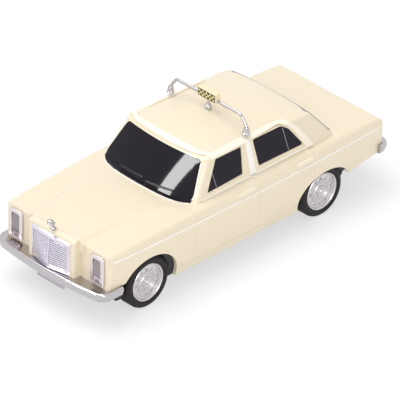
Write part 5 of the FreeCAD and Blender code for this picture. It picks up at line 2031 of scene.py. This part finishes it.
@dataclass
class Wheels(Assembly):
    """Four tyres with grooved treads and four stepped rims with vents."""

    radius: float = 8.37 * MM
    outer_y: float = 21.35 * MM
    width: float = 5.5 * MM
    edge_angle: float = 35.0
    steps: int = 96
    rim_radius: float = 6.15 * MM
    rim_back_y: float = 15.8 * MM
    bead_gap: float = 0.02 * MM
    axles: Tuple[Tuple[str, float], ...] = (("front", 39.75 * MM), ("rear", -32.65 * MM))
    inner_wall: Tuple[Pair, ...] = in_mm(((0.7, 0.0), (0.2, 0.2), (0.0, 0.7)))
    groove_shares: Tuple[float, ...] = (0.3, 0.5, 0.7)
    groove: Tuple[Pair, ...] = in_mm(((0.0, -0.22), (-0.28, -0.16), (-0.28, 0.16), (0.0, 0.22)))
    outer_wall: Tuple[Pair, ...] = in_mm(((0.0, 0.95), (0.12, 0.55), (0.42, 0.22), (0.85, 0.06), (1.3, 0.0)))
    bead_wall: Tuple[Pair, ...] = in_mm(((0.75, 0.02), (0.68, 0.12), (0.3, 0.2), (0.0, 0.4)))
    rim_rings: Tuple[Pair, ...] = in_mm((
        (6.15, -0.35), (6.0, -0.18), (5.75, -0.18), (5.55, -0.4), (5.4, -0.95), (5.2, -1.1), (3.75, -0.95),
        (3.6, -0.66), (3.4, -0.56), (3.1, -0.62), (2.95, -0.85), (2.75, -0.87), (2.6, -0.6), (2.4, -0.5),
        (2.2, -0.56), (2.05, -0.78), (1.85, -0.78), (1.7, -0.45), (1.5, -0.34), (1.3, -0.4), (1.1, -0.6),
        (0.85, -0.6), (0.7, -0.3), (0.5, -0.12), (0.0, -0.04)))
    vents: int = 12
    vent_ring: float = 4.35 * MM
    vent_size: Pair = (0.62 * MM, 0.34 * MM)
    vent_floor: float = 1.35 * MM
    vent_depth: float = 1.0 * MM
    vent_round_share: float = 0.9

    def build(self) -> None:
        """Make one left wheel and copy it to all four places."""
        tyre = self._tyre()
        rim = self._rim()
        for end, axle_x in self.axles:
            for piece, word, finish in ((tyre, "tyre", RUBBER), (rim, "rim", WHEEL_SILVER)):
                name = word + "_" + end + "_"
                left = moved(copied(piece, name + "left_finished"), Vector((axle_x, 0, self.radius)))
                right = mirrored(left, name + "right_finished")
                for each, side in ((left, Side.LEFT), (right, Side.RIGHT)):
                    self.shelf.hand_over(
                        each, finish, name + side.word, angle=self.edge_angle, body=end + "_wheelset")
        discard(tyre, rim)

    def _tyre(self) -> Piece:
        """Tyre on the Y axis: rounded shoulders, three tread grooves and a ring on the outer wall.

        Returns:
            The tyre.
        """
        outer = self.outer_y
        inner = outer - self.width
        bead = self.rim_radius + self.bead_gap
        r = self.radius
        profile = [(bead, inner)]
        profile += [(r - down, inner + along) for down, along in self.inner_wall]
        for share in self.groove_shares:
            middle = inner + self.width * share
            profile += [(r + up, middle + along) for up, along in self.groove]
        profile += [(r - down, outer - along) for down, along in self.outer_wall]
        profile += [(bead + up, outer - along) for up, along in self.bead_wall]
        return turned("tyre_form", profile, Vector((0, 0, 0)), False, self.steps)

    def _rim(self) -> Piece:
        """Rim on the Y axis: bright lip, vented ring, raised rings and a domed cap.

        Returns:
            The rim.
        """
        y = self.outer_y
        profile = [(0.0, self.rim_back_y), (self.rim_radius, self.rim_back_y)]
        profile += [(radius, y + depth) for radius, depth in self.rim_rings]
        rim = turned("rim_form", profile, Vector((0, 0, 0)), False, self.steps)
        along, across = self.vent_size
        corners = oblong((-along, -across), (along, across))
        outline = rounded_outline(corners, across * self.vent_round_share, 4)
        start_y = y - self.vent_floor
        cutters = []
        for index in range(self.vents):
            turn = Matrix.Rotation(2 * math.pi * index / self.vents, 4, "Y")
            points = [turn @ Vector((self.vent_ring + b, start_y, a)) for a, b in outline]
            cutters.append(prism("vent", points, Vector((0, self.vent_depth, 0))))
        combine(rim, joined("vents", cutters), Join.CUT)
        return rim


@dataclass
class Base(Assembly):
    """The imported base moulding, ended behind the front bumper, and the steel and black parts beside it."""

    front_x: float = 51.0 * MM
    reach: float = 80.0 * MM

    def build(self) -> None:
        """Copy and trim the base, and dress the keepers and the axles as they are."""
        base = copied(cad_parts["base_plate"], "base_moulding")
        in_edit_mode(base, lambda: bpy.ops.mesh.remove_doubles(threshold=WELD))
        reach = self.reach
        combine(base, block("front_cut", (self.front_x, -reach, -reach), (reach, reach, reach)), Join.CUT)
        self.shelf.hand_over(base, BASE_BLACK, "base_plate")
        for end in ("front", "rear"):
            self.shelf.dress(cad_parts[end + "_axle_keeper"], BASE_BLACK)
            self.shelf.dress(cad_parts[end + "_axle"], STEEL)


# Camera, light and room


@dataclass(frozen=True)
class Softbox:
    """A soft rectangular lamp."""

    name: str
    where: Triple
    target: Triple
    size: Pair
    power: float
    reflection_only: bool = False

    def build(self) -> None:
        """Add the lamp, facing its target."""
        data = bpy.data.lights.new(self.name, "AREA")
        data.shape = "RECTANGLE"
        data.size, data.size_y = self.size
        data.energy = self.power
        lamp = bpy.data.objects.new(self.name, data)
        bpy.context.scene.collection.objects.link(lamp)
        lamp.location = self.where
        lamp.rotation_euler = (Vector(self.target) - Vector(self.where)).to_track_quat("-Z", "Y").to_euler()
        lamp.visible_diffuse = not self.reflection_only


@dataclass(frozen=True)
class Studio:
    """Camera at the photograph's place, soft light and a pale floor."""

    azimuth: float = math.radians(44.683)
    elevation: float = math.radians(32.597)
    roll: float = math.radians(1.209)
    camera_place: Triple = (1391.178 * MM, 1378.218 * MM, 1262.035 * MM)
    lens: float = 704.6
    sensor: float = 36.0
    far_clip: float = 20.0
    sky_level: float = 0.62
    floor_reach: float = 3.0
    floor_colour: Triple = (0.93, 0.93, 0.93)
    floor_roughness: float = 0.9
    floor_specular: float = 0.1
    floor_glow: float = 0.6
    white: Tuple[float, float, float, float] = (1.0, 1.0, 1.0, 1.0)
    softboxes: Tuple[Softbox, ...] = (
        Softbox("softbox_top", (0.15, -0.25, 0.95), (0.0, 0.0, 0.0), (0.9, 0.7), 6.0),
        Softbox("softbox_left", (0.55, 0.75, 0.5), (0.0, 0.0, 0.02), (0.5, 0.5), 3.0),
        Softbox("softbox_patch", (1.56, -0.79, 0.99), (0.02, 0.01, 0.032), (0.24, 0.5), 12.0, True))

    def build(self) -> None:
        """Set the whole studio up."""
        self._camera()
        self._sky()
        self._floor()
        for softbox in self.softboxes:
            softbox.build()
        bpy.context.scene.view_settings.view_transform = "Standard"

    def _camera(self) -> None:
        """Add the camera with the photograph's view."""
        level = math.cos(self.elevation)
        rise = math.sin(self.elevation)
        back = Vector((math.cos(self.azimuth) * level, math.sin(self.azimuth) * level, rise))
        right = Vector((-math.sin(self.azimuth), math.cos(self.azimuth), 0.0))
        up = back.cross(right)
        turned_right = right * math.cos(self.roll) + up * math.sin(self.roll)
        turned_up = up * math.cos(self.roll) - right * math.sin(self.roll)
        data = bpy.data.cameras.new("photo_camera")
        data.lens = self.lens
        data.sensor_width = self.sensor
        data.clip_end = self.far_clip
        camera = bpy.data.objects.new("photo_camera", data)
        bpy.context.scene.collection.objects.link(camera)
        turn = Matrix((turned_right, turned_up, back)).transposed().to_4x4()
        camera.matrix_world = Matrix.Translation(Vector(self.camera_place)) @ turn
        bpy.context.scene.camera = camera

    def _shown(self, tree: Tree) -> Socket:
        """Value that is one where the camera looks, also through mirrors and glass.

        Args:
            tree: the node tree to add to.

        Returns:
            The socket with that value.
        """
        path = tree.nodes.new("ShaderNodeLightPath")
        value = path.outputs["Is Camera Ray"]
        for word in ("Is Glossy Ray", "Is Transmission Ray"):
            either = tree.nodes.new("ShaderNodeMath")
            either.operation = "MAXIMUM"
            tree.links.new(value, either.inputs[0])
            tree.links.new(path.outputs[word], either.inputs[1])
            value = either.outputs["Value"]
        return value

    def _mixed(self, tree: Tree, share: Socket, first: Socket, second: Socket) -> Socket:
        """Mix of two shaders.

        Args:
            tree: the node tree to add to.
            share: the second shader's share.
            first: the first shader.
            second: the second shader.

        Returns:
            The socket of the mix.
        """
        mix = tree.nodes.new("ShaderNodeMixShader")
        tree.links.new(share, mix.inputs["Fac"])
        tree.links.new(first, mix.inputs[1])
        tree.links.new(second, mix.inputs[2])
        return mix.outputs["Shader"]

    def _sky(self) -> None:
        """Light the scene evenly, and show white to the camera and in reflections."""
        world = bpy.data.worlds.new("studio_air")
        bpy.context.scene.world = world
        world.use_nodes = True
        tree = world.node_tree
        tree.nodes.clear()
        seen = self._shown(tree)
        backgrounds = []
        for level in (self.sky_level, 1.0):
            background = tree.nodes.new("ShaderNodeBackground")
            set_inputs(background, {"Strength": level, "Color": self.white})
            backgrounds.append(background.outputs["Background"])
        output = tree.nodes.new("ShaderNodeOutputWorld")
        tree.links.new(self._mixed(tree, seen, *backgrounds), output.inputs["Surface"])

    def _floor(self) -> None:
        """Add the plain pale floor, which the camera sees a little brighter than it is."""
        bpy.ops.object.select_all(action="DESELECT")
        bpy.ops.mesh.primitive_plane_add(size=2 * self.floor_reach)
        floor = named("studio_floor")
        material = bpy.data.materials.new("pale_floor")
        material.use_nodes = True
        tree = material.node_tree
        shader = tree.nodes["Principled BSDF"]
        set_inputs(shader, {
            "Base Color": (*self.floor_colour, 1.0), "Roughness": self.floor_roughness,
            "Specular IOR Level": self.floor_specular})
        glow = tree.nodes.new("ShaderNodeEmission")
        set_inputs(glow, {"Color": self.white})
        part = tree.nodes.new("ShaderNodeMath")
        part.operation = "MULTIPLY"
        part.inputs[1].default_value = self.floor_glow
        tree.links.new(self._shown(tree), part.inputs[0])
        mixed = self._mixed(tree, part.outputs["Value"], shader.outputs["BSDF"], glow.outputs["Emission"])
        tree.links.new(mixed, tree.nodes["Material Output"].inputs["Surface"])
        floor.data.materials.append(material)


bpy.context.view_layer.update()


def main() -> None:
    """Build the studio and every sub-assembly in order."""
    logging.basicConfig(level=logging.INFO, format="%(message)s")
    Studio().build()
    shelf = FinishShelf()
    form = CarForm()
    windows = Windows(form)
    assemblies = (
        Casting(shelf, form, windows), Glazing(shelf, form, windows), SideTrim(shelf, form, windows),
        PaneDetail(shelf, form), Radiator(shelf), Headlamps(shelf), TailLamps(shelf, form),
        Bumpers(shelf, form), RoofSign(shelf, form), Wheels(shelf), Base(shelf),
    )
    for assembly in assemblies:
        assembly.build()


if __name__ == "__main__":
    main()
